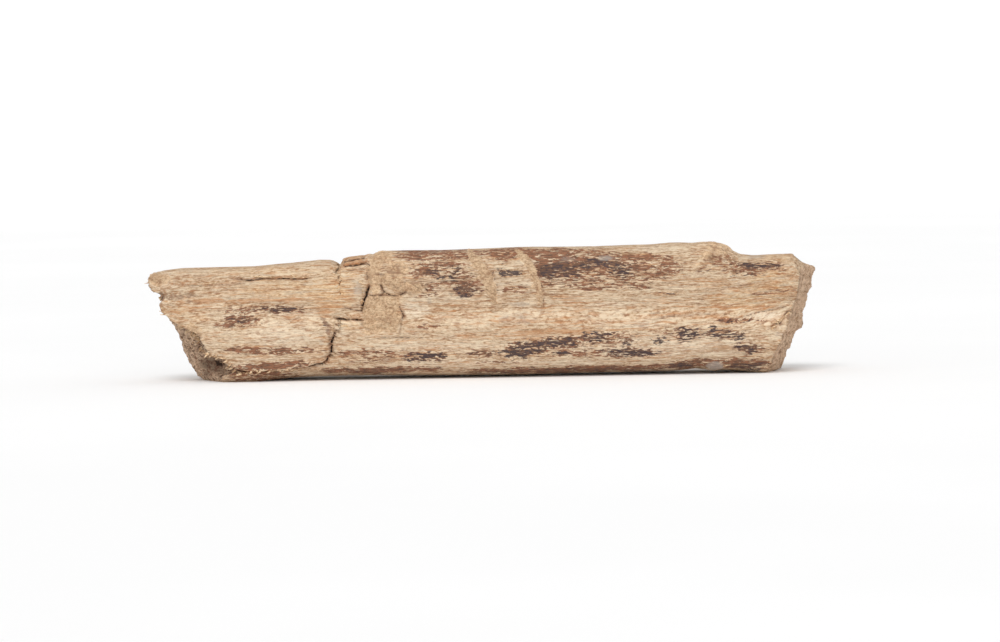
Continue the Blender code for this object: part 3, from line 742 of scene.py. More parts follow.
# For the back: the seed of each finish's draw and how many patches it has.
BACK_DRAWS = {"black": (11, 20), "brown": (12, 52), "orange": (13, 44), "pale": (14, 34), "grey": (15, 30)}
# The mesh's attributes, and the three amounts that each of them holds.
LAYER_SETS = {
    "stains": ("black", "brown", "decay_and_shade"), "tints": ("orange", "bare", "pale"),
    "covers": ("crust", "grey", "ends"), "grain": ("along", "across", "level"),
    "gaps": ("gap", "shade", "left"),
}
# Where the growth rings in the broken ends have their middle, across and up, and their spacing.
PITH = (34.0, 17.0)
RING_STEP = 2.6


def scattered_patches(seed: int, count: int, length: float, width: float) -> Patches:
    """Patches for the back of the log, at seeded random places.

    Args:
        seed: Seed of the draw.
        count: How many patches.
        length: Usual half length.
        width: Usual half height.

    Returns:
        The patches.
    """
    draw = np.random.default_rng(seed)
    rows = tuple(
        (
            draw.uniform(8.0, 232.0), draw.uniform(1.0, 46.0),
            length * draw.uniform(0.3, 1.6), width * draw.uniform(0.5, 1.9), draw.uniform(0.25, 0.75),
        )
        for _ in range(count)
    )
    return Patches(rows, Side.BACK)


@dataclass
class Weathering:
    """What weather, decay and insects did to the log's plain form.

    Attributes:
        site: The places of its surface.
        ragged: Those places moved about well, for the edges of wide patches.
        jagged: Moved about less, for the edges of stains, layers and tubes.
        crisp: Moved about a little, for cracks.
        crust: How much dried crumb lies at each place.
        ends: 1 on both broken ends.
    """

    site: Site
    ragged: Site = field(init=False)
    jagged: Site = field(init=False)
    crisp: Site = field(init=False)
    crust: np.ndarray = field(init=False)
    ends: np.ndarray = field(init=False)

    def __post_init__(self) -> None:
        """Work out where crumbs lie and which places are on a broken end."""
        self.ragged = self.shaken(3.2, 0.9, 101)
        self.jagged = self.shaken(1.8, 0.38, 111)
        self.crisp = self.shaken(2.6, 0.15, 121)
        tubes = np.zeros(len(self.site.along))
        for tube in TUBES.values():
            tubes = np.maximum(tubes, soft_ramp(1.2, 0.8, self.tube_reach(tube)))
        plain = Patches(CRUSTS, core=0.6).cover(self.ragged)
        self.ends = np.maximum(self.site.left, self.site.right)
        self.crust = np.maximum(plain, tubes * self.site.front())

    def shaken(self, cell: float, amount: float, seed: int) -> Site:
        """The same places moved about a little, so that what is laid on them gets ragged edges.

        Args:
            cell: Size of the moves' pattern, in millimetres.
            amount: How far places are moved, in millimetres.
            seed: Which pattern to use.

        Returns:
            The moved places.
        """
        spots = self.site.grid(cell * 1.5, cell, False)
        return replace(
            self.site,
            along=self.site.along + 1.6 * amount * layered_noise(spots, seed, 3),
            height=self.site.height + amount * layered_noise(spots, seed + 5, 3),
        )

    def tube_reach(self, tube: Trail) -> np.ndarray:
        """Distance from a tube's middle line in parts of its uneven half width."""
        distance, width, _ = tube.measure(self.jagged)
        uneven = 1.0 + 0.45 * layered_noise(self.site.grid(2.6, 1.8, False), 131, 2)
        return distance / np.maximum(width * uneven, 0.1)

    def lumpy(self) -> tuple[np.ndarray, np.ndarray]:
        """Find the crumbling lumps.

        Returns:
            How lumpy each place is, and how far it stands from the creases between lumps.
        """
        share = Patches(CLODS).cover(self.jagged)
        return share, np.abs(layered_noise(self.site.grid(6.2, 3.8, False), 19, 2))

    def crack_gap(self) -> tuple[np.ndarray, np.ndarray]:
        """Find the nearest crack or hole.

        Returns:
            The distance from each place to its edge, negative inside, and how dark its painted shade is.
        """
        gap = np.full(len(self.site.along), FAR)
        shade = np.zeros(len(self.site.along))
        for crack in CRACKS_AND_SHADOW_LINES.values():
            distance, width, _ = crack.measure(self.crisp)
            to_crack = distance - width + FAR * (1.0 - self.site.facing(crack.side))
            shade = np.where(to_crack < gap, crack.shade, shade)
            gap = np.minimum(gap, to_crack)
        for to_hole in self.holes():
            shade = np.where(to_hole < gap, 0.8, shade)
            gap = np.minimum(gap, to_hole)
        return gap, shade

    def holes(self) -> list[np.ndarray]:
        """Distance of each place to the edge of each insect hole."""
        found = []
        for on_right, across, height, radius in INSECT_HOLES:
            face = self.site.right if on_right else self.site.left
            distance = np.hypot((self.site.across - across) / 1.5, self.site.height - height)
            found.append(distance - radius + FAR * (face < 0.5))
        return found

    def grain_relief(self) -> np.ndarray:
        """Rise of the ridges and furrows that run with the grain."""
        site = self.site
        behind = 1.0 - site.front()
        waves = 0.28 * layered_noise(site.grid(60.0, 9.0), 1, 2)
        ridges = 0.20 * (0.45 - np.abs(layered_noise(site.grid(38.0, 2.4), 2, 2)))
        fibres = 0.09 * layered_noise(site.grid(9.0, 0.85), 3, 2)
        split_back = 0.9 * (0.4 - np.abs(lattice_noise(site.grid(80.0, 6.5), 4)))
        plain = waves + ridges * (1.0 + 1.6 * behind) + fibres + split_back * behind
        return plain * (1.0 - 0.8 * self.crust) * (1.0 - self.ends)

    def crumb_relief(self) -> np.ndarray:
        """Rise of the grains of dried crumbs and of the broken ends."""
        site = self.site
        lumps = 0.60 * layered_noise(site.grid(2.4, 1.8, False), 6, 3)
        end_lumps = 0.75 * layered_noise(site.grid(3.0, 2.4, False), 7, 3)
        pits = -0.9 * soft_ramp(0.25, 0.6, lattice_noise(site.grid(2.6, 2.0, False), 9))
        fibre_tips = 0.35 * lattice_noise(site.grid(40.0, 0.9, False), 8)
        return lumps * self.crust + (end_lumps + pits + fibre_tips) * self.ends

    def feature_relief(self) -> np.ndarray:
        """Rise of the cracks, layers, tubes, hollows and holes."""
        site = self.jagged
        front = self.site.front()
        rise = np.zeros(len(site.along))
        for crack in CRACKS_AND_SHADOW_LINES.values():
            distance, width, _ = crack.measure(self.crisp)
            cut = soft_ramp(1.0, -0.5, (distance - width) / 0.4)
            rise -= crack.depth * cut * self.site.facing(crack.side)
        for trail, step, run_out in LAYERS.values():
            distance, _, side = trail.measure(site)
            edge = soft_ramp(-0.3, 0.3, side * distance)
            fade = np.exp(-distance / run_out) * np.abs(side)
            rise += abs(step) * (edge if step < 0 else 1.0 - edge) * fade * front
        for tube in TUBES.values():
            dome = np.sqrt(np.clip(1.0 - self.tube_reach(tube) ** 2, 0.0, 1.0))
            rise -= tube.depth * dome * soft_ramp(45.8, 43.4, self.site.height) * front
        for patches, amount in HOLLOWS.values():
            rise += amount * patches.cover(self.ragged)
        for gap in self.holes():
            rise -= 1.2 * soft_ramp(0.4, -0.2, gap)
        share, away = self.lumpy()
        rise += 2.6 * share * (np.minimum(away, 0.5) - 0.22)
        notch = np.clip(1.0 - np.abs(site.along - NOTCH_PLACE) / NOTCH_HALF_WIDTH, 0.0, 1.0)
        return rise - NOTCH_DEPTH * notch * soft_ramp(40.6, 42.4, self.site.height)

    def relief(self) -> np.ndarray:
        """Whole rise above the plain form, in millimetres."""
        return self.grain_relief() + self.crumb_relief() + self.feature_relief()

    def layers(self) -> dict[str, np.ndarray]:
        """Amounts of each finish, in sets of three for the material to read."""
        site, laid, near = self.site, self.ragged, self.jagged
        amounts = {
            name: scattered_patches(seed, count, 12.0, 0.9).cover(laid)
            for name, (seed, count) in BACK_DRAWS.items()
        }
        clean = 1.0 - Patches(CLEAN).cover(near)
        for name, marks, fields, core, strength in (
            ("black", BLACK_STAINS, BLACK_FIELDS, 0.4, 0.98),
            ("brown", BROWN_STAINS, BROWN_FIELDS, 0.5, 0.86),
        ):
            bare = 1.0 - Patches(marks, core=0.1, spread=1.35).cover(near)
            bare *= 1.0 - Patches(fields, core=core).cover(laid)
            amounts[name] = np.maximum(strength * (1.0 - bare) * clean, amounts[name]) * (1.0 - self.crust)
        for name, rows, places, behind in (
            ("orange", ORANGE_TINTS, laid, 1.0),
            ("pale", PALE_TINTS, near, 0.7),
            ("grey", GREY_TINTS, near, 0.7),
        ):
            amounts[name] = np.maximum(Patches(rows).cover(places), behind * amounts[name])
        # Painted shade in the creases between lumps, laid in with the decay patches.
        share, away = self.lumpy()
        creases = 0.8 * share * soft_ramp(0.15, 0.02, away)
        amounts["decay_and_shade"] = np.maximum(Patches(DECAY_AND_SHADE).cover(near), creases)
        amounts["bare"] = Patches(BARE_TINTS).cover(laid)
        amounts["gap"], amounts["shade"] = self.crack_gap()
        amounts |= {"crust": self.crust, "ends": self.ends, "left": site.left}
        amounts |= {"along": site.along, "across": site.across, "level": site.level()}
        return {
            name: np.stack([amounts[part] for part in parts], axis=1) for name, parts in LAYER_SETS.items()
        }


def linear(colour: Colour) -> tuple[float, float, float, float]:
    """Screen colour, 0 to 255, as the linear colour that shaders take."""
    parts = [part / 255.0 for part in colour]
    bright = [part / 12.92 if part <= 0.04045 else ((part + 0.055) / 1.055) ** 2.4 for part in parts]
    return (*bright, 1.0)


class NodeBook:
    """Adds and joins the nodes of one material."""

    def __init__(self, name: str) -> None:
        """Make the material.

        Args:
            name: The material's name.
        """
        self.material = bpy.data.materials.new(name)
        self.material.use_nodes = True
        self.tree = self.material.node_tree
        self.shader = self.tree.nodes["Principled BSDF"]

    def node(self, kind: str, **settings: object) -> bpy.types.Node:
        """Add a node and give it settings."""
        made = self.tree.nodes.new(kind)
        for name, value in settings.items():
            setattr(made, name, value)
        return made

    def feed(self, target: bpy.types.NodeSocket, source: object) -> None:
        """Join a socket to another, or set it to a value."""
        if isinstance(source, bpy.types.NodeSocket):
            self.tree.links.new(source, target)
        else:
            target.default_value = source

    def math(self, operation: str, first: object, second: object = 0.0) -> object:
        """Result of a sum on one or two numbers."""
        made = self.node("ShaderNodeMath", operation=operation)
        self.feed(made.inputs[0], first)
        self.feed(made.inputs[1], second)
        return made.outputs[0]

    def total(self, *weighted: tuple[object, float]) -> object:
        """Sum of numbers, each times its weight."""
        result: object = 0.0
        for value, weight in weighted:
            made = self.node("ShaderNodeMath", operation="MULTIPLY_ADD")
            self.feed(made.inputs[0], value)
            made.inputs[1].default_value = weight
            self.feed(made.inputs[2], result)
            result = made.outputs[0]
        return result

    def ease(self, value: object, low: float, high: float) -> object:
        """Number eased from 0 at low to 1 at high."""
        made = self.node("ShaderNodeMapRange", interpolation_type="SMOOTHSTEP")
        self.feed(made.inputs["Value"], value)
        made.inputs["From Min"].default_value = low
        made.inputs["From Max"].default_value = high
        return made.outputs["Result"]

    def blend(self, amount: object, first: object, second: object) -> object:
        """Colour between two colours, each a socket or a screen colour."""
        made = self.node("ShaderNodeMix", data_type="RGBA")
        self.feed(made.inputs["Factor"], amount)
        for place, colour in ((6, first), (7, second)):
            self.feed(made.inputs[place], linear(colour) if isinstance(colour, tuple) else colour)
        return made.outputs[2]

    def lay(
        self, below: object, above: object, value: object, low: float, high: float, strength: object = 1.0
    ) -> object:
        """Lay a colour over another where a number is high.

        Args:
            below: Colour that is there already.
            above: Colour to lay over it.
            value: Number that says where it lies.
            low: Value of that number where it starts to lie.
            high: Value from which it lies fully.
            strength: How much it covers there, as a number or a socket.

        Returns:
            The colour of both.
        """
        return self.blend(self.math("MULTIPLY", self.ease(value, low, high), strength), below, above)

    def finish(self, colour: object, roughness: float, shine: float) -> bpy.types.Material:
        """Give the material its colour, roughness and shine."""
        self.feed(self.shader.inputs["Base Color"], colour)
        self.shader.inputs["Roughness"].default_value = roughness
        self.shader.inputs["Specular IOR Level"].default_value = shine
        return self.material

    def parts(self, attribute: str) -> list[object]:
        """The three numbers of one of the mesh's attributes."""
        read = self.node("ShaderNodeAttribute", attribute_name=attribute)
        split = self.node("ShaderNodeSeparateXYZ")
        self.feed(split.inputs[0], read.outputs["Vector"])
        return list(split.outputs)

    def cells(self, source: object, length: float, width: float, shift: float = 0.0) -> object:
        """Places in millimetres as places in cells that are long with the grain."""
        made = self.node("ShaderNodeMapping")
        self.feed(made.inputs["Vector"], source)
        made.inputs["Location"].default_value = (shift, shift * 0.7, shift * 1.3)
        made.inputs["Scale"].default_value = (1.0 / length, 1.0 / width, 1.0 / width)
        return made.outputs[0]

    def threads(self, source: object, width: float) -> object:
        """Thin wavy lines, 1 on a line and 0 between lines."""
        away = self.math("ABSOLUTE", self.math("SUBTRACT", self.noise(source, 2.0, 0.5), 0.5))
        return self.ease(away, width, 0.0)

    def noise(self, source: object, detail: float = 3.0, roughness: float = 0.55) -> object:
        """Noise about 0.5 with cells of one unit."""
        made = self.node("ShaderNodeTexNoise", noise_dimensions="3D")
        self.feed(made.inputs["Vector"], source)
        made.inputs["Scale"].default_value = 1.0
        made.inputs["Detail"].default_value = detail
        made.inputs["Roughness"].default_value = roughness
        return made.outputs["Fac"]


@dataclass(frozen=True)
class WoodFinish:
    """Dry, weathered birch with stains, dried crumbs and torn fibres, and painted shade in its cracks, holes,
    hollows and creases.

    Attributes:
        light: The palest sound wood.
        middle: Sound wood.
        dark: Sound wood between fibres.
        orange: Resin-coloured lines.
        bare: Freshly bared wood.
        pale: Bleached wood.
        brown: Brown stain.
        umber: The darker part of brown stain.
        black: Black mould.
        decay_and_shade: Rotten wood, and painted shade in hollows, in creases and under lumps.
        crumb_light: Pale grains of the crust.
        crumb_dark: Dark grains of the crust.
        grey: Grey film.
        end_wood: Broken end grain.
        crack: Painted shade inside cracks, insect holes and the hollows of the broken ends.
    """

    light: Colour = (230, 209, 180)
    middle: Colour = (214, 187, 156)
    dark: Colour = (174, 138, 106)
    orange: Colour = (192, 132, 84)
    bare: Colour = (250, 216, 168)
    # pale: Bleached wood, and painted light on the lower band where the face curves under.
    pale: Colour = (238, 221, 196)
    brown: Colour = (154, 106, 80)
    umber: Colour = (114, 84, 68)
    black: Colour = (82, 70, 70)
    decay_and_shade: Colour = (138, 104, 82)
    crumb_light: Colour = (238, 207, 169)
    crumb_dark: Colour = (168, 128, 96)
    grey: Colour = (178, 168, 158)
    end_wood: Colour = (236, 204, 174)
    crack: Colour = (42, 30, 26)

    def sound_wood(self, book: NodeBook, grain: object, tints: list[object]) -> object:
        """Colour of sound wood: broad bands, fine fibres and resin-coloured lines."""
        orange, bare, pale = tints
        bands = book.noise(book.cells(grain, 30.0, 2.4, 3.0), 3.0)
        fibres = book.noise(book.cells(grain, 7.0, 0.5, 9.0), 3.0, 0.6)
        flecks = book.noise(book.cells(grain, 1.5, 0.46, 15.0), 2.0, 0.6)
        tone = book.total((bands, 0.7), (fibres, 1.2), (flecks, 1.3))
        colour = book.lay(self.dark, self.middle, tone, 1.37, 1.54)
        colour = book.lay(colour, self.light, tone, 1.59, 1.77)
        stripes = book.noise(book.cells(grain, 22.0, 0.85, 17.0), 3.0, 0.6)
        striped = book.total((stripes, 1.3), (fibres, 0.6), (flecks, 0.5))
        strip = book.lay(self.orange, self.bare, striped, 1.04, 1.30)
        strip = book.lay(strip, self.light, striped, 1.22, 1.40)
        colour = book.blend(book.math("MULTIPLY", bare, 0.7), colour, strip)
        chalk = book.lay(self.middle, self.pale, tone, 1.34, 1.60)
        colour = book.blend(book.math("MULTIPLY", pale, 0.8), colour, chalk)
        dashes = book.noise(book.cells(grain, 3.4, 0.5, 37.0), 2.0, 0.6)
        colour = book.lay(colour, self.brown, dashes, 0.56, 0.66, 0.5)
        lines = book.noise(book.cells(grain, 14.0, 0.6, 21.0), 4.0, 0.6)
        rich = book.total((lines, 1.0), (orange, 0.20))
        colour = book.lay(colour, self.orange, rich, 0.54, 0.68, 0.6)
        for line, width, place, low, above, strength in (
            ((26.0, 1.1, 25.0), 0.035, (12.0, 2.0, 27.0), 0.42, self.orange, 0.55),
            ((7.0, 0.5, 31.0), 0.04, (9.0, 1.6, 35.0), 0.46, self.brown, 0.5),
        ):
            threads = book.math("MULTIPLY", book.threads(book.cells(grain, *line), width), strength)
            worn = book.noise(book.cells(grain, *place), 2.0)
            colour = book.lay(colour, above, worn, low, low + 0.18, threads)
        return colour

    def stained(self, book: NodeBook, grain: object, colour: object, stains: list[object]) -> object:
        """Colour with brown stain, black mould, and rotten wood with painted shade laid over it in streaks
        and specks.
        """
        black, brown, decay_and_shade = stains
        streaks = book.noise(book.cells(grain, 3.4, 0.55, 41.0), 2.0, 0.6)
        specks = book.noise(book.cells(grain, 1.8, 0.55, 51.0), 2.0, 0.65)
        clumps = book.noise(book.cells(grain, 5.0, 1.6, 57.0), 3.0)
        brown_rich = book.total((brown, 1.0), (streaks, 2.6), (specks, 2.6), (clumps, 0.8), (black, 0.5))
        dim = book.total((book.noise(book.cells(grain, 2.2, 0.46, 61.0), 3.0), 1.0), (black, 0.22))
        brown_colour = book.lay(self.brown, self.umber, dim, 0.44, 0.60)
        near = book.math("MULTIPLY", book.ease(brown, -0.1, 0.35), 0.96)
        colour = book.lay(colour, brown_colour, brown_rich, 3.36, 3.52, near)
        black_rich = book.total((black, 0.80), (streaks, 1.4), (specks, 3.2), (clumps, 0.8))
        near = book.math("MULTIPLY", book.ease(black, -0.1, 0.3), 0.9)
        colour = book.lay(colour, self.black, black_rich, 3.22, 3.38, near)
        # Rotten wood and painted shade, from the decay mask.
        rot_and_shade = book.total((decay_and_shade, 1.0), (specks, 1.8))
        near = book.math("MULTIPLY", book.ease(decay_and_shade, 0.0, 0.2), 0.8)
        return book.lay(colour, self.decay_and_shade, rot_and_shade, 1.1, 1.8, near)

    def covered(
        self, book: NodeBook, spots: object, colour: object, covers: list[object], left: object, decay_and_shade: object
    ) -> object:
        """Colour with the grey film, the granular crust and the broken ends laid over it, and painted shade
        in hollows of the crust and the ends.
        """
        crust, grey, ends = covers
        grains = book.noise(book.cells(spots, 0.9, 0.6, 71.0), 3.0, 0.75)
        lumps = book.noise(book.cells(spots, 2.6, 1.7, 75.0), 4.0, 0.6)
        mixed = book.total((grains, 0.7), (lumps, 0.5))
        # Painted shade in hollows: where the decay mask lies, crumbs take the decay colour and broken ends
        # the crack colour.
        hollow = book.total((decay_and_shade, 1.0), (lumps, 1.4), (grains, 0.8))
        colour = book.lay(colour, self.grey, book.total((grey, 1.0), (lumps, 1.0)), 0.7, 1.5, 0.65)
        crumbs = book.lay(self.crumb_dark, self.crumb_light, mixed, 0.44, 0.74)
        crumbs = book.lay(crumbs, self.decay_and_shade, hollow, 1.4, 2.0, 0.7)
        colour = book.lay(colour, crumbs, book.total((crust, 1.0), (lumps, 1.6)), 1.05, 1.55, 0.85)
        cut_grain = book.lay(self.dark, self.end_wood, mixed, 0.44, 0.66)
        rotten = book.lay(self.umber, self.end_wood, mixed, 0.48, 0.66)
        cut_grain = book.blend(left, cut_grain, rotten)
        squares = [
            book.math("POWER", book.math("SUBTRACT", place, middle), 2.0)
            for place, middle in zip(book.parts("grain")[1:], PITH)
        ]
        far = book.math("SQRT", book.math("ADD", *squares))
        rings = book.total((far, FULL_TURN / RING_STEP), (lumps, 1.6 * FULL_TURN / RING_STEP))
        cut_grain = book.lay(cut_grain, self.brown, book.math("SINE", rings), 0.4, 1.0, 0.25)
        cut_grain = book.lay(cut_grain, self.crack, hollow, 1.6, 2.2, 0.5)
        return book.blend(book.math("MULTIPLY", ends, 0.92), colour, cut_grain)

    def make(self) -> bpy.types.Material:
        """Make the material."""
        book = NodeBook("weathered_wood")
        scaled = book.node("ShaderNodeVectorMath", operation="SCALE")
        book.feed(scaled.inputs[0], book.node("ShaderNodeTexCoord").outputs["Object"])
        scaled.inputs["Scale"].default_value = 1.0 / MM
        spots = scaled.outputs[0]
        grain = self.wavy_grain(book)
        stains, tints, covers = (book.parts(name) for name in ("stains", "tints", "covers"))
        gap, shade, left = book.parts("gaps")
        colour = self.sound_wood(book, grain, tints)
        colour = self.stained(book, grain, colour, stains)
        colour = self.covered(book, spots, colour, covers, left, stains[2])
        # Painted shade in and round cracks and insect holes: brown at their edges, the crack colour inside.
        wobble = book.noise(book.cells(spots, 1.2, 0.6, 81.0), 3.0)
        near = book.total((gap, 1.0), (wobble, 0.7))
        colour = book.lay(colour, self.brown, near, 1.05, 0.40, book.math("MULTIPLY", shade, 0.4))
        colour = book.lay(colour, self.crack, near, 0.47, 0.23, shade)
        self.roughen(book, grain, spots, covers)
        return book.finish(colour, 0.9, 0.18)

    def wavy_grain(self, book: NodeBook) -> object:
        """Places along the grain, with its small waves taken out."""
        grain = book.node("ShaderNodeAttribute", attribute_name="grain").outputs["Vector"]
        wave = book.math("SUBTRACT", book.noise(book.cells(grain, 6.0, 2.4, 5.0), 2.0), 0.5)
        shift = book.node("ShaderNodeCombineXYZ")
        book.feed(shift.inputs["Z"], book.math("MULTIPLY", wave, 1.3))
        moved = book.node("ShaderNodeVectorMath", operation="ADD")
        book.feed(moved.inputs[0], grain)
        book.feed(moved.inputs[1], shift.outputs[0])
        return moved.outputs[0]

    def roughen(self, book: NodeBook, grain: object, spots: object, covers: list[object]) -> None:
        """Give the surface fine furrows with the grain, and grains where crumbs or ends are."""
        fibres = book.noise(book.cells(grain, 7.0, 0.46, 91.0), 4.0, 0.6)
        fibres = book.total((fibres, 1.0), (book.noise(book.cells(grain, 1.6, 0.5, 93.0), 2.0), 0.5))
        grains = book.total((book.noise(book.cells(spots, 1.0, 0.8, 95.0), 4.0, 0.7), 1.3))
        height = book.node("ShaderNodeMix", data_type="FLOAT")
        book.feed(height.inputs["Factor"], book.math("MAXIMUM", covers[0], covers[2]))
        book.feed(height.inputs[2], fibres)
        book.feed(height.inputs[3], grains)
        bump = book.node("ShaderNodeBump")
        bump.inputs["Strength"].default_value = 1.0
        bump.inputs["Distance"].default_value = 0.95 * MM
        book.feed(bump.inputs["Height"], height.outputs[0])
        book.feed(book.shader.inputs["Normal"], bump.outputs[0])


@dataclass(frozen=True)
class PlainFinish:
    """A dull finish for small things and for the floor.

    Attributes:
        name: The material's name.
        dark: Colour of its darker flecks.
        light: Colour of its lighter flecks.
        fleck: Size of a fleck along and across, in millimetres.
        roughness: How dull it is.
    """

    name: str
    dark: Colour
    light: Colour
    fleck: tuple[float, float] = (4.0, 0.4)
    roughness: float = 0.9

    def make(self) -> bpy.types.Material:
        """Make the material."""
        book = NodeBook(self.name)
        place = book.node("ShaderNodeTexCoord").outputs["Object"]
        flecks = book.noise(book.cells(place, self.fleck[0] * MM, self.fleck[1] * MM), 3.0)
        return book.finish(book.lay(self.dark, self.light, flecks, 0.38, 0.62), self.roughness, 0.15)


def deselect_all() -> None:
    """Leave object mode clean, with nothing selected."""
    if bpy.context.object and bpy.context.object.mode != "OBJECT":
        bpy.ops.object.mode_set(mode="OBJECT")
    bpy.ops.object.select_all(action="DESELECT")


def open_piece(name: str) -> bpy.types.Object:
    """Add an empty mesh piece and open it for editing."""
    deselect_all()
    bpy.ops.object.add(type="MESH")
    piece = bpy.context.object
    piece.name = name
    bpy.ops.object.mode_set(mode="EDIT")
    return piece


def vertex_places(mesh: bpy.types.Mesh) -> np.ndarray:
    """Places of a mesh's points, as rows of three numbers."""
    flat = np.empty(len(mesh.vertices) * 3)
    mesh.vertices.foreach_get("co", flat)
    return flat.reshape(-1, 3)


def crowded(ticks: np.ndarray, crowding: np.ndarray, count: int) -> np.ndarray:
    """Places from the first tick to the last, closer together where they crowd.

    Args:
        ticks: Evenly spaced places.
        crowding: How closely places crowd at each tick.
        count: How many places to give.

    Returns:
        The places.
    """
    filled = np.concatenate([[0.0], np.cumsum(crowding[1:] + crowding[:-1])])
    return np.interp(np.linspace(0.0, 1.0, count), filled / filled[-1], ticks)


def declare(piece: bpy.types.Object, finish: WoodFinish | PlainFinish) -> None:
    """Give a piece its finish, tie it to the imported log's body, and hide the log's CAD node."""
    piece.data.materials.append(finish.make())
    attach(piece, BODY)
    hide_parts(NODE)
    LOG.info("%s: %d faces", piece.name, len(piece.data.polygons))


@dataclass
class BirchLog:
    """The log with its torn fibres and crumbs.

    Attributes:
        shape: Its plain form.
        end_rings: Rings of points across each broken end.
        stations: Rings of points along its side.
        columns: Points round it.
        finish: The finish of its wood.
        origin: Frame point of the place where along, across and height are 0.
        surface: Points of its finished surface, in metres.
        facing: Which way each of those points faces.
        crust: How much crust each of them carries.
    """

    shape: LogShape = field(default_factory=LogShape)
    end_rings: int = 34
    stations: int = 332
    columns: int = 238
    finish: WoodFinish = field(default_factory=WoodFinish)
    origin: Vector = field(default_factory=Vector)
    surface: np.ndarray = field(init=False)
    facing: np.ndarray = field(init=False)
    crust: np.ndarray = field(init=False)

    def rows(self) -> tuple[np.ndarray, np.ndarray]:
        """Where each ring of points lies.

        Returns:
            Part of the length and reach from the core, for the rings from end to end.
        """
        ticks = np.linspace(0.0, 1.0, 481)
        crowding = 1.0 + np.exp(-((ticks - 0.325) / 0.06) ** 4)
        crowding += 0.7 * np.exp(-(ticks / 0.09) ** 2) + 0.6 * np.exp(-((ticks - 1.0) / 0.06) ** 2)
        side = crowded(ticks, crowding, self.stations)
        inward = np.linspace(0.0, 1.0, self.end_rings, endpoint=False) ** 0.9
        part = np.concatenate([np.zeros(self.end_rings), side, np.ones(self.end_rings)])
        reach = np.concatenate([inward, np.ones(self.stations), inward[::-1]])
        return part, reach

    def angles(self) -> np.ndarray:
        """Angles round the log, closer together on the best face, from the back and round to it."""
        ticks = np.linspace(-math.pi, math.pi, 721)
        return crowded(ticks, 1.0 + 1.15 * soft_ramp(-0.25, 0.35, -np.cos(ticks)), self.columns)

    def body(self) -> bpy.types.Object:
        """The log itself: a grid rolled up along the grain, closed at both breaks."""
        part_rows, reach_rows = self.rows()
        turns = self.angles()
        deselect_all()
        bpy.ops.mesh.primitive_grid_add(
            x_subdivisions=len(part_rows) - 1, y_subdivisions=len(turns) - 1, size=1.0
        )
        piece = bpy.context.object
        piece.name = "log_wood"
        mesh = piece.data
        flat = vertex_places(mesh) + 0.5
        row = np.rint(flat[:, 0] * (len(part_rows) - 1)).astype(int)
        column = np.rint(flat[:, 1] * (len(turns) - 1)).astype(int)
        site = self.shape.place(part_rows[row], turns[column], reach_rows[row])
        weathering = Weathering(site)
        plain = np.stack([site.along, site.across, site.height], axis=1)
        outward = self.outward(plain, row, column, len(part_rows), len(turns))
        points = plain + outward * weathering.relief()[:, None]
        points[:, 2] = np.maximum(points[:, 2], 0.0)
        points = self.settle(points)
        self.surface, self.facing, self.crust = points, outward, weathering.crust * site.front()
        mesh.vertices.foreach_set("co", points.ravel())
        for name, values in weathering.layers().items():
            stored = mesh.attributes.new(name, "FLOAT_VECTOR", "POINT")
            stored.data.foreach_set("vector", values.astype(np.float32).ravel())
        bpy.ops.object.mode_set(mode="EDIT")
        bpy.ops.mesh.select_all(action="SELECT")
        bpy.ops.mesh.remove_doubles(threshold=0.000001)
        bpy.ops.mesh.normals_make_consistent(inside=False)
        bpy.ops.object.mode_set(mode="OBJECT")
        bpy.ops.object.shade_smooth()
        declare(piece, self.finish)
        return piece

    @staticmethod
    def outward(
        points: np.ndarray, row: np.ndarray, column: np.ndarray, rows: int, columns: int
    ) -> np.ndarray:
        """Find which way the plain form faces at each point.

        Args:
            points: The points.
            row: Each point's ring.
            column: Each point's place in its ring.
            rows: How many rings there are.
            columns: How many points a ring has, the last on top of the first.

        Returns:
            Unit vectors out of the log.
        """
        order = np.empty((rows, columns), dtype=int)
        order[row, column] = np.arange(len(points))
        grid = points[order]
        lengthwise = np.gradient(grid, axis=0)
        wrapped = np.concatenate([grid[:, -2:-1], grid, grid[:, 1:2]], axis=1)
        around = wrapped[:, 2:] - wrapped[:, :-2]
        facing = np.cross(around, lengthwise)
        size = np.linalg.norm(facing, axis=2, keepdims=True)
        facing = facing / np.maximum(size, 1e-9)
        facing[0] = facing[1].mean(axis=0)
        facing[-1] = facing[-2].mean(axis=0)
        middle = grid[rows // 2].mean(axis=0)
        if np.sum(facing[rows // 2] * (grid[rows // 2] - middle)) < 0.0:
            facing = -facing
        result = np.empty_like(points)
        result[order.ravel()] = facing.reshape(-1, 3)
        return result

    def settle(self, points: np.ndarray) -> np.ndarray:
        """Move points in millimetres to their place in the frame, in metres."""
        low, high = CAD_BOX
        middle = (points.min(axis=0) + points.max(axis=0)) / 2
        self.origin = Vector((
            (low.x + high.x) / 2 - middle[0] * MM, (low.y + high.y) / 2 - middle[1] * MM, low.z
        ))
        return points * MM + np.array(self.origin)

    def spot(self, along: float, height: float) -> Vector:
        """Point of the best face nearest a place along and a height."""
        x = self.origin.x + along * MM
        z = self.origin.z + height * MM
        far = np.hypot(self.surface[:, 0] - x, self.surface[:, 2] - z) + 0.2 * (self.surface[:, 1] > 0.0)
        return Vector(self.surface[int(np.argmin(far))])


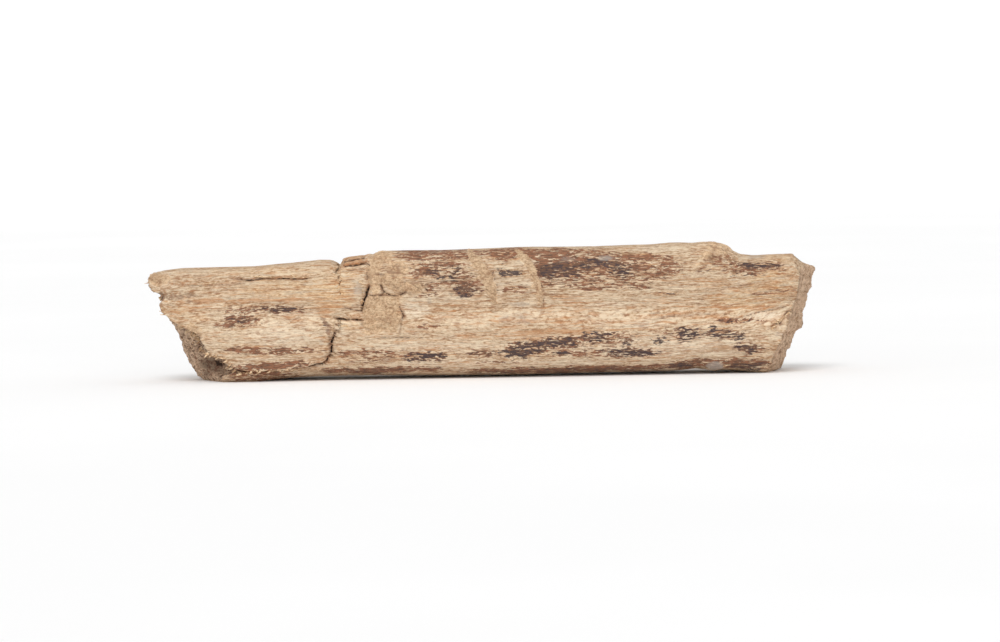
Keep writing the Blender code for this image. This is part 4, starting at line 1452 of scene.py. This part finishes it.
@dataclass
class TornFibres:
    """Loose ends of wood fibre along breaks and splits.

    Attributes:
        log: The log they hang on.
        edges: Lines that fibres stick out from: a seed, how many, the usual heading in degrees in
            the plane of the best face, the usual length, and the line's points.
        single: Fibres placed one by one: along, height, heading, length and half width.
        finish: Their finish.
    """

    log: BirchLog
    edges: tuple[tuple[int, int, float, float, Rows], ...] = (
        (1, 84, 212, 2.2, (
            (9.9, 20.4), (13.6, 19), (16.8, 17.2), (18.1, 13.6), (19.9, 10.8), (23, 10.2), (26.7, 9.2),
            (28.6, 7.2), (29.9, 4.4), (33, 3.4),
        )),
        (2, 14, 195, 1.8, ((31, 3.6), (38, 3.6), (46, 4), (53, 4.8), (59, 6.4))),
        (3, 12, 215, 2.2, ((229.6, 22.4), (227.2, 20.2), (223.8, 17.4), (222.4, 14.4))),
        (4, 10, 175, 1.8, ((0.6, 39), (0.2, 36), (3, 32), (4, 28), (6.4, 24))),
        (5, 12, 350, 1.8, ((75.6, 36), (76.6, 33), (76.2, 30), (75.8, 27))),
        (6, 16, 150, 2, ((233.4, 34), (231.8, 27), (229.4, 20), (226.8, 14), (224, 7))),
        (7, 10, 8, 2.4, ((33, 37.8), (41, 37.9), (52, 37.6), (57, 37.4))),
    )
    single: Rows = (
        (44, 37.9, 176, 13, 0.34), (57, 37.4, 181, 9, 0.22), (24, 36.2, 184, 9, 0.24),
        (71.6, 23.9, 292, 3.4, 0.16), (70.6, 24.6, 308, 3.2, 0.14), (72.8, 23.4, 250, 2.6, 0.14),
        (74.6, 24.4, 284, 3, 0.16), (69.6, 23.2, 325, 2.4, 0.16), (42, 3.9, 352, 4.2, 0.16),
        (52, 4.3, 200, 3.4, 0.16), (205.6, 2.8, 12, 6, 0.4), (66, 20.6, 262, 4, 0.18),
    )
    finish: PlainFinish = PlainFinish("torn_fibres", (176, 138, 102), (226, 200, 166), (1.2, 0.6))

    def rows(self) -> list[tuple[float, ...]]:
        """Every fibre's place along, height, heading, length and half width."""
        rows = [tuple(row) for row in self.single]
        for seed, count, heading, length, points in self.edges:
            draw = np.random.default_rng(seed)
            line = np.array(points)
            steps = np.concatenate([[0.0], np.cumsum(np.hypot(*np.diff(line, axis=0).T))])
            for place in np.sort(draw.uniform(0.0, steps[-1], count)):
                rows.append((
                    float(np.interp(place, steps, line[:, 0])), float(np.interp(place, steps, line[:, 1])),
                    heading + draw.normal(0.0, 22.0), length * draw.uniform(0.4, 1.3),
                    0.16 + 0.62 * draw.random() ** 2,
                ))
        return rows

    def build(self) -> bpy.types.Object:
        """Add a slender cone for each fibre, then make them all uneven."""
        piece = open_piece("torn_fibres")
        for along, height, heading, length, width in self.rows():
            turn = math.radians(heading)
            axis = Vector((math.cos(turn), -0.12, math.sin(turn))).normalized()
            middle = self.log.spot(along, height) + axis * length * 0.42 * MM + Vector((0.0, -0.12, 0.0)) * MM
            bpy.ops.mesh.primitive_cone_add(
                vertices=6, radius1=width * MM, radius2=width * 0.2 * MM, depth=length * MM,
                end_fill_type="TRIFAN", location=middle, rotation=axis.to_track_quat("Z", "Y").to_euler(),
            )
        bpy.ops.mesh.select_all(action="SELECT")
        bpy.ops.mesh.subdivide(number_cuts=2)
        bpy.ops.mesh.normals_make_consistent(inside=False)
        bpy.ops.object.mode_set(mode="OBJECT")
        points = vertex_places(piece.data)
        bend = np.stack([lattice_noise(points / (1.4 * MM), seed) for seed in (61, 62, 63)], axis=1)
        piece.data.vertices.foreach_set("co", (points + bend * (0.12, 0.10, 0.22) * MM).ravel())
        bpy.ops.object.shade_smooth()
        declare(piece, self.finish)
        return piece


@dataclass
class Crumbs:
    """Loose grains on the crusted parts of the best face.

    Attributes:
        log: The log they lie on.
        count: How many there are.
        finish: Their finish.
    """

    log: BirchLog
    count: int = 280
    finish: PlainFinish = PlainFinish("crumbs", (186, 148, 112), (226, 196, 160), (0.7, 0.7))

    def build(self) -> bpy.types.Object:
        """Add a small rough ball for each grain."""
        draw = np.random.default_rng(77)
        likely = self.log.crust ** 2
        picked = draw.choice(len(likely), self.count, replace=False, p=likely / likely.sum())
        piece = open_piece("crumbs")
        for index in picked:
            radius = draw.uniform(0.14, 0.32) * MM
            middle = Vector(self.log.surface[index]) + Vector(self.log.facing[index]) * radius * 0.15
            bpy.ops.mesh.primitive_ico_sphere_add(
                subdivisions=1, radius=radius, location=middle, rotation=draw.uniform(0.0, FULL_TURN, 3),
                scale=(draw.uniform(0.8, 1.5), draw.uniform(0.7, 1.0), draw.uniform(0.6, 1.0)),
            )
        bpy.ops.object.mode_set(mode="OBJECT")
        declare(piece, self.finish)
        return piece


@dataclass(frozen=True)
class Studio:
    """Pale floor, soft light and the camera.

    Attributes:
        distance: From the camera to the log's middle, in metres.
        elevation: Degrees above the horizon.
        lens: Focal length in millimetres.
        tilt: How far the camera leans, in degrees.
        aim: Point the camera looks at, in metres.
    """

    distance: float = 1.5
    elevation: float = 3.0
    lens: float = 150.7
    tilt: float = -1.0
    aim: tuple[float, float, float] = (0.0059, -0.014, 0.0204)

    def build(self) -> None:
        """Make floor, lights, world and camera."""
        self.floor()
        self.lights()
        self.camera()

    def floor(self) -> None:
        """A wide pale floor that curves up all round, far from the log."""
        deselect_all()
        bpy.ops.mesh.primitive_grid_add(x_subdivisions=80, y_subdivisions=80, size=12.0)
        floor = bpy.context.object
        floor.name = "floor"
        for vertex in floor.data.vertices:
            away = np.array([vertex.co.xy.length])
            vertex.co.z = 0.5 * float(soft_ramp(2.0, 4.6, away)[0])
        bpy.ops.object.shade_smooth()
        floor.data.materials.append(
            PlainFinish("pale_floor", (250, 250, 250), (252, 252, 252), (400.0, 400.0), 0.95).make()
        )

    def lights(self) -> None:
        """Soft even light from all round, and two wide soft lamps above and in front."""
        world = bpy.data.worlds.new("studio")
        world.use_nodes = True
        world.node_tree.nodes["Background"].inputs["Color"].default_value = (1.0, 1.0, 1.0, 1.0)
        world.node_tree.nodes["Background"].inputs["Strength"].default_value = 0.62
        bpy.context.scene.world = world
        for name, heading, strength, angle in (
            ("key_light", (-0.15, -0.62, 0.85), 1.45, 30.0), ("fill_light", (0.2, -1.0, 0.16), 0.85, 50.0),
        ):
            deselect_all()
            bpy.ops.object.light_add(type="SUN", location=Vector(heading))
            lamp = bpy.context.object
            lamp.name = name
            lamp.data.energy = strength
            lamp.data.angle = math.radians(angle)
            lamp.rotation_euler = (-Vector(heading)).to_track_quat("-Z", "Y").to_euler()

    def camera(self) -> None:
        """A long lens, level with the log and a little above it."""
        deselect_all()
        rise = math.radians(self.elevation)
        aim = Vector(self.aim)
        back = Vector((0.0, -math.cos(rise), math.sin(rise)))
        bpy.ops.object.camera_add(location=aim + back * self.distance)
        camera = bpy.context.object
        camera.name = "camera"
        camera.data.lens = self.lens
        camera.data.clip_start = 0.05
        upright = (-back).to_track_quat("-Z", "Y").to_matrix().to_4x4()
        lean = Matrix.Rotation(math.radians(self.tilt), 4, "Z")
        camera.matrix_world = Matrix.Translation(camera.location) @ upright @ lean
        bpy.context.scene.camera = camera
        bpy.context.scene.view_settings.view_transform = "Standard"


def main() -> None:
    """Build the log and the studio."""
    log = BirchLog()
    log.body()
    TornFibres(log).build()
    Crumbs(log).build()
    Studio().build()


if __name__ == "__main__":
    main()
